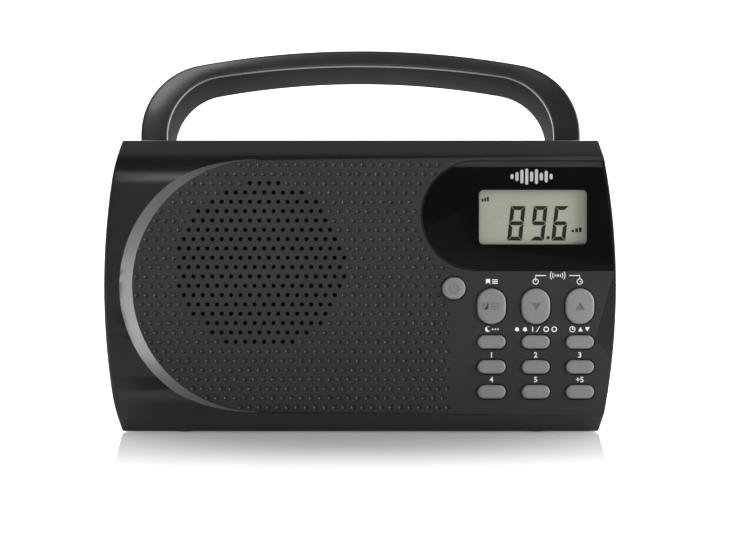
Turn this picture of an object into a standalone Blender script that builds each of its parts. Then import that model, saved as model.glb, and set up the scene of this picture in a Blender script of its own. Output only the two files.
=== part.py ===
# Tabletop radio: front cabinet with a recessed D-shaped grille and key field, glossy display
# window, thirteen keys, folding carry handle, telescopic aerial and battery bay.
# Metres. +X is the viewer's right, -Y is the front, +Z is up. The origin is on the table
# under the middle of the radio.

import math

import bmesh
import bpy
from mathutils import Matrix, Vector

# Overall sizes
BODY_WIDTH = 0.2228
BODY_DEPTH = 0.076
CABINET_HEIGHT = 0.1276
FOOT_DROP = 0.0004
SIDE_BULGE = 0.0069
FRONT_PART_DEPTH = 0.026
WALL = 0.0024
CORNER_RADIUS = 0.002
BACK_EDGE_RADIUS = 0.008
GAP = 0.0003

# Front face: sloping strips above and below, and the recessed field
SLOPE_HEIGHT = 0.0117
SLOPE_DEPTH = 0.0106
SLOPE_FILLET = 0.010
RECESS_DEPTH = 0.004
RIM_RADIUS = 0.0559
RIM_X = -0.0484
FIELD_RADIUS = 0.0547
FIELD_X = -0.0446

# Display
WINDOW_LEFT = 0.0266
WINDOW_BOTTOM = 0.0710
WINDOW_TOP = 0.1184
WINDOW_THICKNESS = 0.0016
WINDOW_SIDE_MARGIN = 0.0018
WINDOW_GAP = 0.0003
LCD_LEFT = 0.0511
LCD_RIGHT = 0.0978
LCD_BOTTOM = 0.0821
LCD_TOP = 0.1053
LCD_CORNER = 0.0019
LCD_GLASS = 0.0024
LCD_BORDER = 0.0015

# Keys
KEY_WIDTH = 0.0121
PILL_HEIGHT = 0.0055
OVAL_HEIGHT = 0.0154
POWER_DIAMETER = 0.0098
KEY_PITCH_X = 0.0192
KEY_PITCH_Z = 0.01084
KEY_MIDDLE_X = 0.0762
OVAL_Z = 0.0557
PILL_TOP_Z = 0.0403
POWER_X = 0.0406
POWER_Z = 0.0633
KEY_PROUD = 0.0013
KEY_GAP = 0.00045
KEY_EDGE = 0.0005
KEY_TRAVEL = 0.0008
KEY_FLANGE = 0.0007
KEY_FLANGE_THICKNESS = 0.0010
KEY_STEM_INSET = 0.0016
KEY_STEM_LENGTH = 0.0016
PAD_CLEARANCE = 0.0010
PAD_BUMP = 0.0010
PAD_THICKNESS = 0.0012
BOARD_THICKNESS = 0.0016

# Speaker, a three-inch unit
SPEAKER_X = -0.0430
SPEAKER_Z = 0.0730
SPEAKER_RADIUS = 0.0385
GRILLE_RADIUS = 0.0382
GRILLE_THIN = 0.0010
CONE_RADIUS = 0.0330
MAGNET_RADIUS = 0.0220
MAGNET_LENGTH = 0.0100
BASKET_DEPTH = 0.0180
FLANGE_THICKNESS = 0.0015

# Carry handle, seen from the front: crown arc, shoulder arc and straight leg
HANDLE_TOP = 0.1704
HANDLE_HALF_WIDTH = 0.0990
HANDLE_CROWN = 0.400
HANDLE_SHOULDER = 0.032
FRONT_INNER_TOP = 0.1639
FRONT_INNER_HALF = 0.0872
FRONT_INNER_CROWN = 0.430
FRONT_INNER_SHOULDER = 0.028
REAR_INNER_TOP = 0.1558
REAR_INNER_HALF = 0.0841
REAR_INNER_CROWN = 0.360
REAR_INNER_SHOULDER = 0.018
HANDLE_DEPTH = 0.024
HANDLE_FRONT_DEPTH = 0.0025
HANDLE_LEAN_FROM = 0.141
HANDLE_LEAN = 0.21
PIVOT_Z = 0.111
PIVOT_FROM_SPLIT = 0.017
PIN_RADIUS = 0.003
PIN_HEAD_RADIUS = 0.005
PIN_BITE = 0.0045
LEG_SIDE_GAP = 0.0010
LEG_PIVOT_GAP = 0.0016
POCKET_CLEARANCE = 0.0007
SHOULDER_ROOM = 0.0041
SHOULDER_ROOM_DEPTH = 0.0090

# Battery bay and door
CELL_RADIUS = 0.0131
CELL_LENGTH = 0.050
CELL_NUB_RADIUS = 0.0033
CELL_NUB = 0.0015
CELL_ROW_GAP = 0.0007
SPRING_LENGTH = 0.005
SPRING_WIRE = 0.00045
SPRING_RADIUS = 0.0078
CONTACT_THICKNESS = 0.0005
BAY_BOTTOM = 0.0125
BAY_WALL = 0.0035
DOOR_THICKNESS = 0.002
DOOR_LIP = 0.0025

# Aerial
AERIAL_X = 0.070
AERIAL_FROM_BACK = 0.007
AERIAL_BELOW_TOP = 0.006
AERIAL_LENGTH = 0.123
AERIAL_TRAVEL = 0.110
AERIAL_RADII = (0.0028, 0.0020, 0.00125, 0.00065)
AERIAL_BORES = (0.0023, 0.00155, 0.00095)
CHANNEL_DEPTH = 0.014
TONGUE_RADIUS = 0.0024
TONGUE_HALF = 0.0010

# Small parts
FOOT_RADIUS = 0.0045
FOOT_X = 0.0773
FOOT_SINK = 0.0012
FOOT_FROM_FRONT = 0.017
FOOT_FROM_BACK = 0.011
SCREW_X = 0.066
SCREW_LOW_Z = 0.0095
SCREW_HIGH_Z = 0.1125
SCREW_RADIUS = 0.0015
SCREW_HEAD_RADIUS = 0.0028
SCREW_HEAD = 0.002
SCREW_LENGTH = 0.018
WELL_SOLE = 0.006
POST_RADIUS = 0.0035
WHEEL_RADIUS = 0.013
WHEEL_Z = 0.025
WHEEL_THICKNESS = 0.005
WHEEL_PROUD = 0.0022
SHAFT_RADIUS = 0.002
JACK_Z = 0.084
JACK_Y = 0.004
JACK_RADIUS = 0.0039
INLET_X = 0.075
INLET_Z = 0.030
INLET_WIDTH = 0.0166
INLET_HEIGHT = 0.0084
INLET_DEPTH = 0.012
INLET_WALL = 0.0018
INLET_PIN_RADIUS = 0.0012
INLET_PIN_SPREAD = 0.0043

# Places worked out from the sizes above
FRONT_Y = -BODY_DEPTH / 2
BACK_Y = BODY_DEPTH / 2
FLOOR_Y = FRONT_Y + RECESS_DEPTH
INNER_Y = FLOOR_Y + WALL
SPLIT_Y = FRONT_Y + FRONT_PART_DEPTH
CABINET_BOTTOM = FOOT_DROP
CABINET_TOP = FOOT_DROP + CABINET_HEIGHT
CABINET_MIDDLE = FOOT_DROP + CABINET_HEIGHT / 2
PIVOT_Y = SPLIT_Y + PIVOT_FROM_SPLIT
POCKET_IN = REAR_INNER_HALF - LEG_PIVOT_GAP
POCKET_OUT = HANDLE_HALF_WIDTH + LEG_SIDE_GAP
POCKET_FRONT = PIVOT_Y - HANDLE_DEPTH / 2 - POCKET_CLEARANCE
POCKET_FLOOR = PIVOT_Z - HANDLE_DEPTH / 2 - POCKET_CLEARANCE
HANDLE_SPLIT_Y = PIVOT_Y - HANDLE_DEPTH / 2 + HANDLE_FRONT_DEPTH
BAY_HALF = CELL_LENGTH + (SPRING_LENGTH + 2 * CONTACT_THICKNESS + 10 * GAP) / 2
BAY_TOP = BAY_BOTTOM + 4 * CELL_RADIUS + 3 * CELL_ROW_GAP
DOOR_INNER_Y = BACK_Y - DOOR_THICKNESS
CELL_Y = DOOR_INNER_Y - CELL_RADIUS - 4 * GAP
BAY_FRONT = CELL_Y - CELL_RADIUS - 2 * GAP
DOOR_HALF = BAY_HALF + DOOR_LIP
DOOR_BOTTOM = BAY_BOTTOM - DOOR_LIP + GAP
DOOR_TOP = BAY_TOP + DOOR_LIP
AERIAL_Y = BACK_Y - AERIAL_FROM_BACK
AERIAL_Z = CABINET_TOP - AERIAL_BELOW_TOP
CHANNEL_Y = BACK_Y - CHANNEL_DEPTH
CHANNEL_Z = AERIAL_Z - AERIAL_RADII[0] - 4 * GAP
CHANNEL_END = AERIAL_X + 0.006
FLANGE_Y = INNER_Y + GAP
KEY_BACK_Y = FLANGE_Y + KEY_FLANGE_THICKNESS + KEY_STEM_LENGTH
PAD_Y = KEY_BACK_Y + PAD_CLEARANCE + PAD_BUMP
KEY_BOARD_Y = PAD_Y + PAD_THICKNESS + GAP
MAIN_BOARD_Y = SPLIT_Y + 0.006
MAIN_BOARD_BACK = MAIN_BOARD_Y + BOARD_THICKNESS
PART_GAP_Y = SPLIT_Y + GAP
PAST = 0.02
BITE = 0.0005


def clear_scene():
    for old in list(bpy.data.objects):
        bpy.data.objects.remove(old, do_unlink=True)


def make_material(name, colour, roughness, metallic=0.0):
    material = bpy.data.materials.new(name)
    material.use_nodes = True
    shader = material.node_tree.nodes["Principled BSDF"]
    shader.inputs["Base Color"].default_value = (*colour, 1.0)
    shader.inputs["Roughness"].default_value = roughness
    shader.inputs["Metallic"].default_value = metallic
    return material


def make_materials():
    return {
        "shell": make_material("black_shell", (0.018, 0.018, 0.019), 0.45),
        "key": make_material("grey_key", (0.19, 0.19, 0.19), 0.5),
        "gloss": make_material("gloss_window", (0.006, 0.006, 0.007), 0.08),
        "lcd": make_material("lcd_glass", (0.28, 0.29, 0.22), 0.2),
        "rubber": make_material("black_rubber", (0.02, 0.02, 0.02), 0.8),
        "silicone": make_material("keypad_rubber", (0.45, 0.45, 0.46), 0.7),
        "board": make_material("circuit_board", (0.03, 0.16, 0.06), 0.5),
        "holder": make_material("white_holder", (0.75, 0.75, 0.73), 0.5),
        "steel": make_material("plated_steel", (0.62, 0.62, 0.63), 0.3, 1.0),
        "chrome": make_material("chrome_tube", (0.75, 0.75, 0.76), 0.12, 1.0),
        "copper": make_material("coil_wire", (0.55, 0.24, 0.10), 0.4, 0.9),
        "ferrite": make_material("ferrite", (0.04, 0.04, 0.045), 0.6),
        "paper": make_material("speaker_paper", (0.03, 0.03, 0.03), 0.9),
        "cell": make_material("cell_jacket", (0.10, 0.12, 0.16), 0.35),
    }


def add_object(name, mesh, material=None):
    item = bpy.data.objects.new(name, mesh)
    bpy.context.scene.collection.objects.link(item)
    if material:
        mesh.materials.append(material)
    return item


def finish_mesh(name, bm, smooth=False):
    bmesh.ops.recalc_face_normals(bm, faces=bm.faces)
    mesh = bpy.data.meshes.new(name)
    bm.to_mesh(mesh)
    bm.free()
    if smooth:
        mesh.shade_smooth()
        mesh.set_sharp_from_angle(angle=math.radians(35))
    return mesh


# Closed solid through a row of rings, each ring a list of points of the same count
def loft(name, rings, material=None, smooth=False, looped=False):
    bm = bmesh.new()
    rows = [[bm.verts.new(point) for point in ring] for ring in rings]
    count = len(rows[0])
    pairs = list(zip(rows, rows[1:]))
    if looped:
        pairs.append((rows[-1], rows[0]))
    for first, second in pairs:
        for i in range(count):
            j = (i + 1) % count
            bm.faces.new((first[i], first[j], second[j], second[i]))
    if not looped:
        bm.faces.new(rows[0])
        bm.faces.new(rows[-1])
    return add_object(name, finish_mesh(name, bm, smooth), material)


def box(name, low, high, material=None):
    corners = ((0, 0), (1, 0), (1, 1), (0, 1))
    rings = []
    for z in (low[2], high[2]):
        rings.append([((low, high)[a][0], (low, high)[b][1], z) for a, b in corners])
    return loft(name, rings, material)


def prism_y(name, outline, y_from, y_to, material=None, smooth=False):
    rings = [[(x, y, z) for x, z in outline] for y in (y_from, y_to)]
    return loft(name, rings, material, smooth)


def prism_x(name, outline, x_from, x_to, material=None):
    return loft(name, [[(x, y, z) for y, z in outline] for x in (x_from, x_to)], material)


# Turned solid: profile points are (along the axis, radius); a zero radius closes the end
def turned(name, profile, centre, axis, segments=24, material=None, ring_shape=False):
    bm = bmesh.new()
    turn = Vector((0, 0, 1)).rotation_difference(Vector(axis)).to_matrix()
    place = Matrix.Translation(centre) @ turn.to_4x4()
    rows = []
    for along, radius in profile:
        if radius == 0:
            rows.append([bm.verts.new(place @ Vector((0, 0, along)))])
            continue
        angles = [2 * math.pi * i / segments for i in range(segments)]
        rows.append([bm.verts.new(place @ Vector((radius * math.cos(a), radius * math.sin(a), along)))
                     for a in angles])
    pairs = list(zip(rows, rows[1:]))
    if ring_shape:
        pairs.append((rows[-1], rows[0]))
    for first, second in pairs:
        for i in range(segments):
            j = (i + 1) % segments
            corners = [first[i % len(first)], first[j % len(first)],
                       second[j % len(second)], second[i % len(second)]]
            bm.faces.new(list(dict.fromkeys(corners)))
    return add_object(name, finish_mesh(name, bm, smooth=True), material)


def cylinder(name, centre, axis, radius, length, segments=16, material=None):
    profile = ((0, 0), (0, radius), (length, radius), (length, 0))
    return turned(name, profile, centre, axis, segments, material)


def combine(target, helper, operation):
    modifier = target.modifiers.new(helper.name, "BOOLEAN")
    modifier.object = helper
    modifier.operation = operation
    modifier.solver = "EXACT"
    helper.hide_render = True
    helper.display_type = "WIRE"
    return target


def cut(target, helper):
    return combine(target, helper, "DIFFERENCE")


def fuse(target, helper):
    return combine(target, helper, "UNION")


def keep_common(target, helper):
    return combine(target, helper, "INTERSECT")


def set_origin(item, point):
    item.data.transform(Matrix.Translation(-Vector(point)))
    item.location = point
    return item


def arc(centre, radius, start, end, steps):
    turns = [math.radians(start + (end - start) * i / steps) for i in range(steps + 1)]
    return [(centre[0] + radius * math.cos(a), centre[1] + radius * math.sin(a)) for a in turns]


# Half width of the cabinet at a height: its sides bulge to BODY_WIDTH at mid height
def side_half(z, inset=0.0):
    share = (z - CABINET_MIDDLE) / (CABINET_HEIGHT / 2)
    return BODY_WIDTH / 2 - SIDE_BULGE * share * share - inset


def body_outline(inset=0.0, side_steps=10):
    low = CABINET_BOTTOM + inset
    high = CABINET_TOP - inset
    radius = max(CORNER_RADIUS - inset, 0.0008)
    right = arc((side_half(low + radius, inset) - radius, low + radius), radius, -90, 0, 3)
    for i in range(1, side_steps):
        z = low + radius + (high - low - 2 * radius) * i / side_steps
        right.append((side_half(z, inset), z))
    right += arc((side_half(high - radius, inset) - radius, high - radius), radius, 0, 90, 3)
    return right + [(-x, z) for x, z in reversed(right)]


# Side view of the front: a flat face between two slopes that meet it in a fillet
def front_profile():
    slope = math.degrees(math.atan2(SLOPE_DEPTH, SLOPE_HEIGHT))
    reach = SLOPE_FILLET * math.tan(math.radians(slope / 2))
    centre = (FRONT_Y + SLOPE_FILLET, CABINET_TOP - SLOPE_HEIGHT - reach)
    upper = arc(centre, SLOPE_FILLET, 180 - slope, 180, 4)
    upper.insert(0, (FRONT_Y + SLOPE_DEPTH, CABINET_TOP + BITE / 8))
    upper.insert(0, (SPLIT_Y + PAST, CABINET_TOP + BITE / 8))
    lower = [(y, 2 * CABINET_MIDDLE - z) for y, z in reversed(upper)]
    return upper + lower


def front_hollow_profile():
    length = math.hypot(SLOPE_DEPTH, SLOPE_HEIGHT)
    shift = WALL * length / SLOPE_HEIGHT
    start_z = CABINET_TOP - (INNER_Y - FRONT_Y - SLOPE_DEPTH - shift) * -SLOPE_HEIGHT / SLOPE_DEPTH
    upper = [(SPLIT_Y + PAST, CABINET_TOP + PAST),
             (FRONT_Y + SLOPE_DEPTH + shift + PAST * SLOPE_DEPTH / SLOPE_HEIGHT, CABINET_TOP + PAST),
             (INNER_Y, start_z)]
    lower = [(y, 2 * CABINET_MIDDLE - z) for y, z in reversed(upper)]
    return upper + lower


# One edge of the recess at a depth: it narrows from the rim to the field on the floor
def recess_ring(depth):
    share = depth / RECESS_DEPTH
    centre_x = RIM_X + (FIELD_X - RIM_X) * share
    radius = RIM_RADIUS + (FIELD_RADIUS - RIM_RADIUS) * share
    left = arc((centre_x, CABINET_MIDDLE), radius, 90, 270, 24)
    far = BODY_WIDTH / 2 + PAST
    outline = left + [(far, CABINET_MIDDLE - radius), (far, CABINET_MIDDLE + radius)]
    return [(x, FRONT_Y + depth, z) for x, z in outline]


def stadium(width, height, outset=0.0, steps=5):
    radius = min(width, height) / 2
    reach_x = width / 2 - radius
    reach_z = height / 2 - radius
    radius += outset
    if height > width:
        return arc((0, reach_z), radius, 0, 180, steps) + arc((0, -reach_z), radius, 180, 360, steps)
    if width > height:
        return arc((reach_x, 0), radius, -90, 90, steps) + arc((-reach_x, 0), radius, 90, 270, steps)
    return arc((0, 0), radius, 0, 360 - 180 / steps, 2 * steps - 1)


def moved(outline, x, z):
    return [(x + px, z + pz) for px, pz in outline]


def rounded_rectangle(left, right, bottom, top, radius, steps=3):
    points = []
    corners = ((right, bottom, -90), (right, top, 0), (left, top, 90), (left, bottom, 180))
    for x, z, start in corners:
        centre = (x - radius if x == right else x + radius, z - radius if z == top else z + radius)
        points += arc(centre, radius, start, start + 90, steps)
    return points


def window_outline(outset=0.0):
    radius = (WINDOW_TOP - WINDOW_BOTTOM) / 2
    middle = (WINDOW_TOP + WINDOW_BOTTOM) / 2
    left = arc((WINDOW_LEFT + radius, middle), radius + outset, 90, 270, 14)
    margin = WINDOW_SIDE_MARGIN - outset
    low = WINDOW_BOTTOM - outset
    high = WINDOW_TOP + outset
    heights = [low + (high - low) * i / 5 for i in range(6)]
    return left + [(side_half(z, margin), z) for z in heights]


# Every key: name, centre, width and height
def key_layout():
    columns = [KEY_MIDDLE_X + KEY_PITCH_X * i for i in (-1, 0, 1)]
    keys = [("key_power", POWER_X, POWER_Z, POWER_DIAMETER, POWER_DIAMETER)]
    for name, x in zip(("key_memory", "key_tune_down", "key_tune_up"), columns):
        keys.append((name, x, OVAL_Z, KEY_WIDTH, OVAL_HEIGHT))
    rows = (("key_sleep", "key_alarm", "key_clock"),
            ("key_preset_1", "key_preset_2", "key_preset_3"),
            ("key_preset_4", "key_preset_5", "key_plus_five"))
    for row, names in enumerate(rows):
        for name, x in zip(names, columns):
            keys.append((name, x, PILL_TOP_Z - KEY_PITCH_Z * row, KEY_WIDTH, PILL_HEIGHT))
    return keys


def screw_places():
    return [("left_low", -SCREW_X, SCREW_LOW_Z), ("right_low", SCREW_X, SCREW_LOW_Z),
            ("left_high", -SCREW_X, SCREW_HIGH_Z), ("right_high", SCREW_X, SCREW_HIGH_Z)]


def foot_places():
    front = FRONT_Y + FOOT_FROM_FRONT
    back = BACK_Y - FOOT_FROM_BACK
    return [("front_left", -FOOT_X, front), ("front_right", FOOT_X, front),
            ("rear_left", -FOOT_X, back), ("rear_right", FOOT_X, back)]


def key_board_posts():
    return [(0.0360, 0.0705), (0.0660, 0.0705), (0.1000, 0.0705), (0.0325, 0.0300), (0.0325, 0.0500)]


def rod_bracket_places():
    return (-0.0525, 0.0075)


ROD_Y = -0.020
ROD_Z = 0.1185
ROD_RADIUS = 0.004
ROD_FROM = -0.058
ROD_TO = 0.014


def add_front_posts(shell):
    for name, x, z in screw_places():
        start = INNER_Y - BITE / 5
        fuse(shell, cylinder("post_" + name, (x, start, z), (0, 1, 0), POST_RADIUS,
                             SPLIT_Y - BITE - start, 12))
    for number, (x, z) in enumerate(key_board_posts()):
        start = INNER_Y - BITE
        fuse(shell, cylinder(f"board_post_{number}", (x, start, z), (0, 1, 0), 0.0018,
                             KEY_BOARD_Y - GAP - start, 8))
    for number, x in enumerate(rod_bracket_places()):
        low = (x - 0.0015, ROD_Y - 0.0065, ROD_Z - 0.0060)
        high = (x + 0.0015, ROD_Y + 0.0065, CABINET_TOP - WALL + BITE)
        fuse(shell, box(f"rod_bracket_{number}", low, high))


def add_speaker_seat(shell):
    centre = (SPEAKER_X, INNER_Y, SPEAKER_Z)
    inner = SPEAKER_RADIUS + GAP
    profile = ((-BITE, inner), (-BITE, inner + 0.0015), (0.002, inner + 0.0015), (0.002, inner))
    fuse(shell, turned("speaker_ring", profile, centre, (0, 1, 0), 32, ring_shape=True))
    pocket = (SPEAKER_X, INNER_Y - GRILLE_THIN, SPEAKER_Z)
    cut(shell, cylinder("grille_pocket", pocket, (0, 1, 0), GRILLE_RADIUS, 2 * GRILLE_THIN, 32))


def make_front_cabinet(materials):
    shell = prism_y("front_cabinet", body_outline(), FRONT_Y - BITE, SPLIT_Y, materials["shell"])
    keep_common(shell, prism_x("front_shape", front_profile(), -BODY_WIDTH, BODY_WIDTH))
    hollow = prism_y("front_hollow", body_outline(WALL), INNER_Y, SPLIT_Y + PAST / 2)
    keep_common(hollow, prism_x("front_hollow_shape", front_hollow_profile(), -BODY_WIDTH, BODY_WIDTH))
    cut(shell, hollow)
    rings = [recess_ring(-0.25 * RECESS_DEPTH), recess_ring(RECESS_DEPTH)]
    cut(shell, loft("recess_cut", rings))
    add_front_posts(shell)
    add_speaker_seat(shell)
    for name, x, z, width, height in key_layout():
        outline = moved(stadium(width, height, KEY_GAP), x, z)
        cut(shell, prism_y("hole_" + name, outline, FLOOR_Y - PAST, INNER_Y + BITE))
    pocket_back = FLOOR_Y + WINDOW_THICKNESS + GAP
    cut(shell, prism_y("window_seat", window_outline(WINDOW_GAP), FLOOR_Y - PAST, pocket_back))
    opening = rounded_rectangle(LCD_LEFT - BITE, LCD_RIGHT + BITE, LCD_BOTTOM - BITE, LCD_TOP + BITE,
                                LCD_CORNER)
    cut(shell, prism_y("lcd_opening", opening, FLOOR_Y, INNER_Y + BITE))
    for name, x, z in screw_places():
        start = SPLIT_Y - SCREW_LENGTH + 0.004
        cut(shell, cylinder("pilot_" + name, (x, start, z), (0, 1, 0), SCREW_RADIUS + GAP, PAST, 10))
    for name, x, y in foot_places()[:2]:
        cut(shell, foot_seat(name, x, y))
    rod = (ROD_FROM, ROD_Y, ROD_Z)
    cut(shell, cylinder("rod_hole", rod, (1, 0, 0), ROD_RADIUS + GAP, ROD_TO - ROD_FROM, 16))
    return shell


def foot_seat(name, x, y):
    bottom = (x, y, -PAST)
    return cylinder("seat_" + name, bottom, (0, 0, 1), FOOT_RADIUS + GAP,
                    PAST + CABINET_BOTTOM + FOOT_SINK + GAP, 16)


# Side view of the rear half: a box with two rounded back edges
def rear_profile(inset=0.0):
    radius = BACK_EDGE_RADIUS - inset
    back = BACK_Y - inset
    high = CABINET_TOP - inset + (BITE / 8 if inset == 0 else 0)
    upper = [(SPLIT_Y - PAST, high)] + arc((back - radius, high - radius), radius, 90, 0, 5)
    lower = [(y, 2 * CABINET_MIDDLE - z) for y, z in reversed(upper)]
    return upper + lower


# Each leg's pocket, and the wider room at the back for the folded handle's shoulder
def pocket_boxes(name, wall=0.0):
    boxes = []
    for side, sign in (("left", -1), ("right", 1)):
        for number, (inner, front) in enumerate(((POCKET_IN, POCKET_FRONT),
                                                 (POCKET_IN - SHOULDER_ROOM, BACK_Y - SHOULDER_ROOM_DEPTH))):
            edges = sorted((sign * (inner - wall), sign * (POCKET_OUT + (PAST if wall else 0))))
            low = (edges[0], front - wall, POCKET_FLOOR - wall)
            high = (edges[1], BACK_Y + PAST, CABINET_TOP + PAST)
            boxes.append(box(f"{name}_{side}_{number}", low, high))
    return boxes


def bay_box(name, wall=0.0):
    low = (-BAY_HALF - wall, BAY_FRONT - min(wall, 0.0016), BAY_BOTTOM - wall)
    high = (BAY_HALF + wall, BACK_Y + PAST, BAY_TOP + wall)
    return box(name, low, high)


def channel_box(name, wall=0.0):
    low = (-BODY_WIDTH, CHANNEL_Y - wall, CHANNEL_Z - wall)
    high = (CHANNEL_END + wall, BACK_Y + PAST, CABINET_TOP + PAST)
    return box(name, low, high)


def board_post_places():
    return ((0.014, 0.030), (0.050, 0.030), (0.050, 0.058))


def wheel_x():
    return side_half(WHEEL_Z) + WHEEL_PROUD - WHEEL_RADIUS


def wheel_y():
    return MAIN_BOARD_BACK + 0.0041


def add_rear_posts(shell):
    for name, x, z in screw_places():
        start = PART_GAP_Y + BITE
        fuse(shell, cylinder("well_" + name, (x, start, z), (0, 1, 0), 0.004, BACK_Y - 2 * BITE - start, 12))
    for number, (x, z) in enumerate(board_post_places()):
        start = MAIN_BOARD_BACK + GAP
        fuse(shell, cylinder(f"rear_board_post_{number}", (x, start, z), (0, 1, 0), 0.003,
                             BAY_FRONT - BITE - start, 10))
    low = (0.066, TRANSFORMER_Y + TRANSFORMER_STACK + GAP, TRANSFORMER_Z - TRANSFORMER_HEIGHT / 2)
    high = (0.096, BACK_Y - WALL + BITE, low[2] + 0.004)
    fuse(shell, box("transformer_shelf", low, high))


def cut_screw_wells(shell):
    seat = PAST + WELL_SOLE
    end = BACK_Y - PART_GAP_Y + 2 * PAST
    shank = SCREW_RADIUS + GAP
    head = SCREW_HEAD_RADIUS + 2 * GAP
    profile = ((0, 0), (0, shank), (seat, shank), (seat, head), (end, head), (end, 0))
    for name, x, z in screw_places():
        cut(shell, turned("well_bore_" + name, profile, (x, PART_GAP_Y - PAST, z), (0, 1, 0), 10))


def cut_side_openings(shell):
    reach = WHEEL_RADIUS - 0.0008
    low = (wheel_x() + 0.002, wheel_y() - 2 * GAP, WHEEL_Z - reach)
    high = (BODY_WIDTH, wheel_y() + WHEEL_THICKNESS + 2 * GAP, WHEEL_Z + reach)
    cut(shell, box("wheel_slot", low, high))
    start = (side_half(JACK_Z) - 2 * WALL, JACK_Y, JACK_Z)
    cut(shell, cylinder("jack_hole", start, (1, 0, 0), JACK_RADIUS + GAP, PAST, 20))
    for sign in (-1, 1):
        start = (sign * (POCKET_IN - 2 * WALL), PIVOT_Y, PIVOT_Z)
        cut(shell, cylinder(f"pin_hole_{sign}", start, (sign, 0, 0), PIN_RADIUS + GAP, 3 * WALL, 16))


def inlet_outline(outset):
    return moved(stadium(INLET_WIDTH, INLET_HEIGHT, outset, 6), INLET_X, INLET_Z)


def make_rear_cabinet(materials):
    shell = prism_y("rear_cabinet", body_outline(), PART_GAP_Y, BACK_Y + BITE, materials["shell"])
    keep_common(shell, prism_x("rear_shape", rear_profile(), -BODY_WIDTH, BODY_WIDTH))
    hollow = prism_y("rear_hollow", body_outline(WALL), SPLIT_Y - PAST / 2, BACK_Y)
    keep_common(hollow, prism_x("rear_hollow_shape", rear_profile(WALL), -BODY_WIDTH, BODY_WIDTH))
    for helper in pocket_boxes("pocket_wall", WALL) + [bay_box("bay_wall", BAY_WALL),
                                                       channel_box("channel_wall", WALL)]:
        cut(hollow, helper)
    cut(shell, hollow)
    add_rear_posts(shell)
    lip = 2 * GAP
    low = (-DOOR_HALF - GAP, DOOR_INNER_Y - GAP, DOOR_BOTTOM - GAP)
    high = (DOOR_HALF + GAP, BACK_Y + PAST, DOOR_TOP + lip)
    for helper in pocket_boxes("pocket") + [bay_box("bay"), channel_box("channel"),
                                            box("door_seat", low, high)]:
        cut(shell, helper)
    cut_screw_wells(shell)
    cut_side_openings(shell)
    cut(shell, prism_y("inlet_hole", inlet_outline(INLET_WALL + GAP), BACK_Y - 2 * WALL, BACK_Y + PAST))
    stud = (AERIAL_X, CHANNEL_Y - 2 * WALL, AERIAL_Z)
    cut(shell, cylinder("stud_hole", stud, (0, 1, 0), 0.0015 + GAP, 3 * WALL, 12))
    for name, x, y in foot_places()[2:]:
        cut(shell, foot_seat(name, x, y))
    return shell


def make_battery_door(materials):
    edge = DOOR_THICKNESS / 2
    hinge = (DOOR_INNER_Y + edge, DOOR_BOTTOM + edge)
    outline = arc(hinge, edge, 180, 360, 4) + [(BACK_Y, DOOR_TOP), (DOOR_INNER_Y, DOOR_TOP)]
    door = prism_x("battery_door", outline, -DOOR_HALF, DOOR_HALF, materials["shell"])
    grip = rounded_rectangle(-0.012, 0.012, DOOR_TOP - 0.010, DOOR_TOP - 0.003, 0.003)
    cut(door, prism_y("finger_dent", grip, BACK_Y - 0.0010, BACK_Y + PAST))
    return set_origin(door, (0, hinge[0], hinge[1]))


# Points of one handle contour from the leg's foot, over the crown, to the other foot
def arch(half, top, crown, shoulder, leg_heights):
    centre_x = half - shoulder
    centre_z = top - crown + math.sqrt((crown - shoulder) ** 2 - centre_x ** 2)
    join = math.degrees(math.asin(centre_x / (crown - shoulder)))
    right = [(half, z) for z in leg_heights]
    right += arc((centre_x, centre_z), shoulder, 0, 90 - join, 7)
    right += arc((0, top - crown), crown, 90 - join, 90, 6)[1:]
    return right + [(-x, z) for x, z in reversed(right[:-1])]


def lean(z):
    rise = max(0.0, z - HANDLE_LEAN_FROM)
    return HANDLE_LEAN * rise * rise / (2 * (HANDLE_TOP - HANDLE_LEAN_FROM))


# Front and back of the leg at a height: its foot is round about the pivot
def leg_limits(z, front, back):
    drop = max(0.0, PIVOT_Z - z)
    reach = math.sqrt(max(0.0, (HANDLE_DEPTH / 2) ** 2 - drop ** 2))
    return max(front, PIVOT_Y - reach), min(back, PIVOT_Y + reach)


def handle_band(name, front, back, foot_turn, inner_front, inner_back, material):
    radius = HANDLE_DEPTH / 2
    feet = [PIVOT_Z - radius * math.sin(math.radians(foot_turn * i / 5)) for i in (5, 4, 3, 2, 1, 0)]
    outer = arch(HANDLE_HALF_WIDTH, HANDLE_TOP, HANDLE_CROWN, HANDLE_SHOULDER, feet)
    near = arch(*inner_front, feet)
    far = arch(*inner_back, feet)
    rings = []
    for edge, first, second in zip(outer, near, far):
        start, end = leg_limits(min(edge[1], first[1]), front, back)
        rings.append([(edge[0], start + lean(edge[1]), edge[1]), (first[0], start + lean(edge[1]), first[1]),
                      (second[0], end + lean(edge[1]), second[1]), (edge[0], end + lean(edge[1]), edge[1])])
    return loft(name, rings, material)


# The inner edge part-way through the depth lies between the front edge and the rear edge
def inner_edge(share):
    first = (FRONT_INNER_HALF, FRONT_INNER_TOP, FRONT_INNER_CROWN, FRONT_INNER_SHOULDER)
    last = (REAR_INNER_HALF, REAR_INNER_TOP, REAR_INNER_CROWN, REAR_INNER_SHOULDER)
    return tuple(a + (b - a) * share for a, b in zip(first, last))


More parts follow.
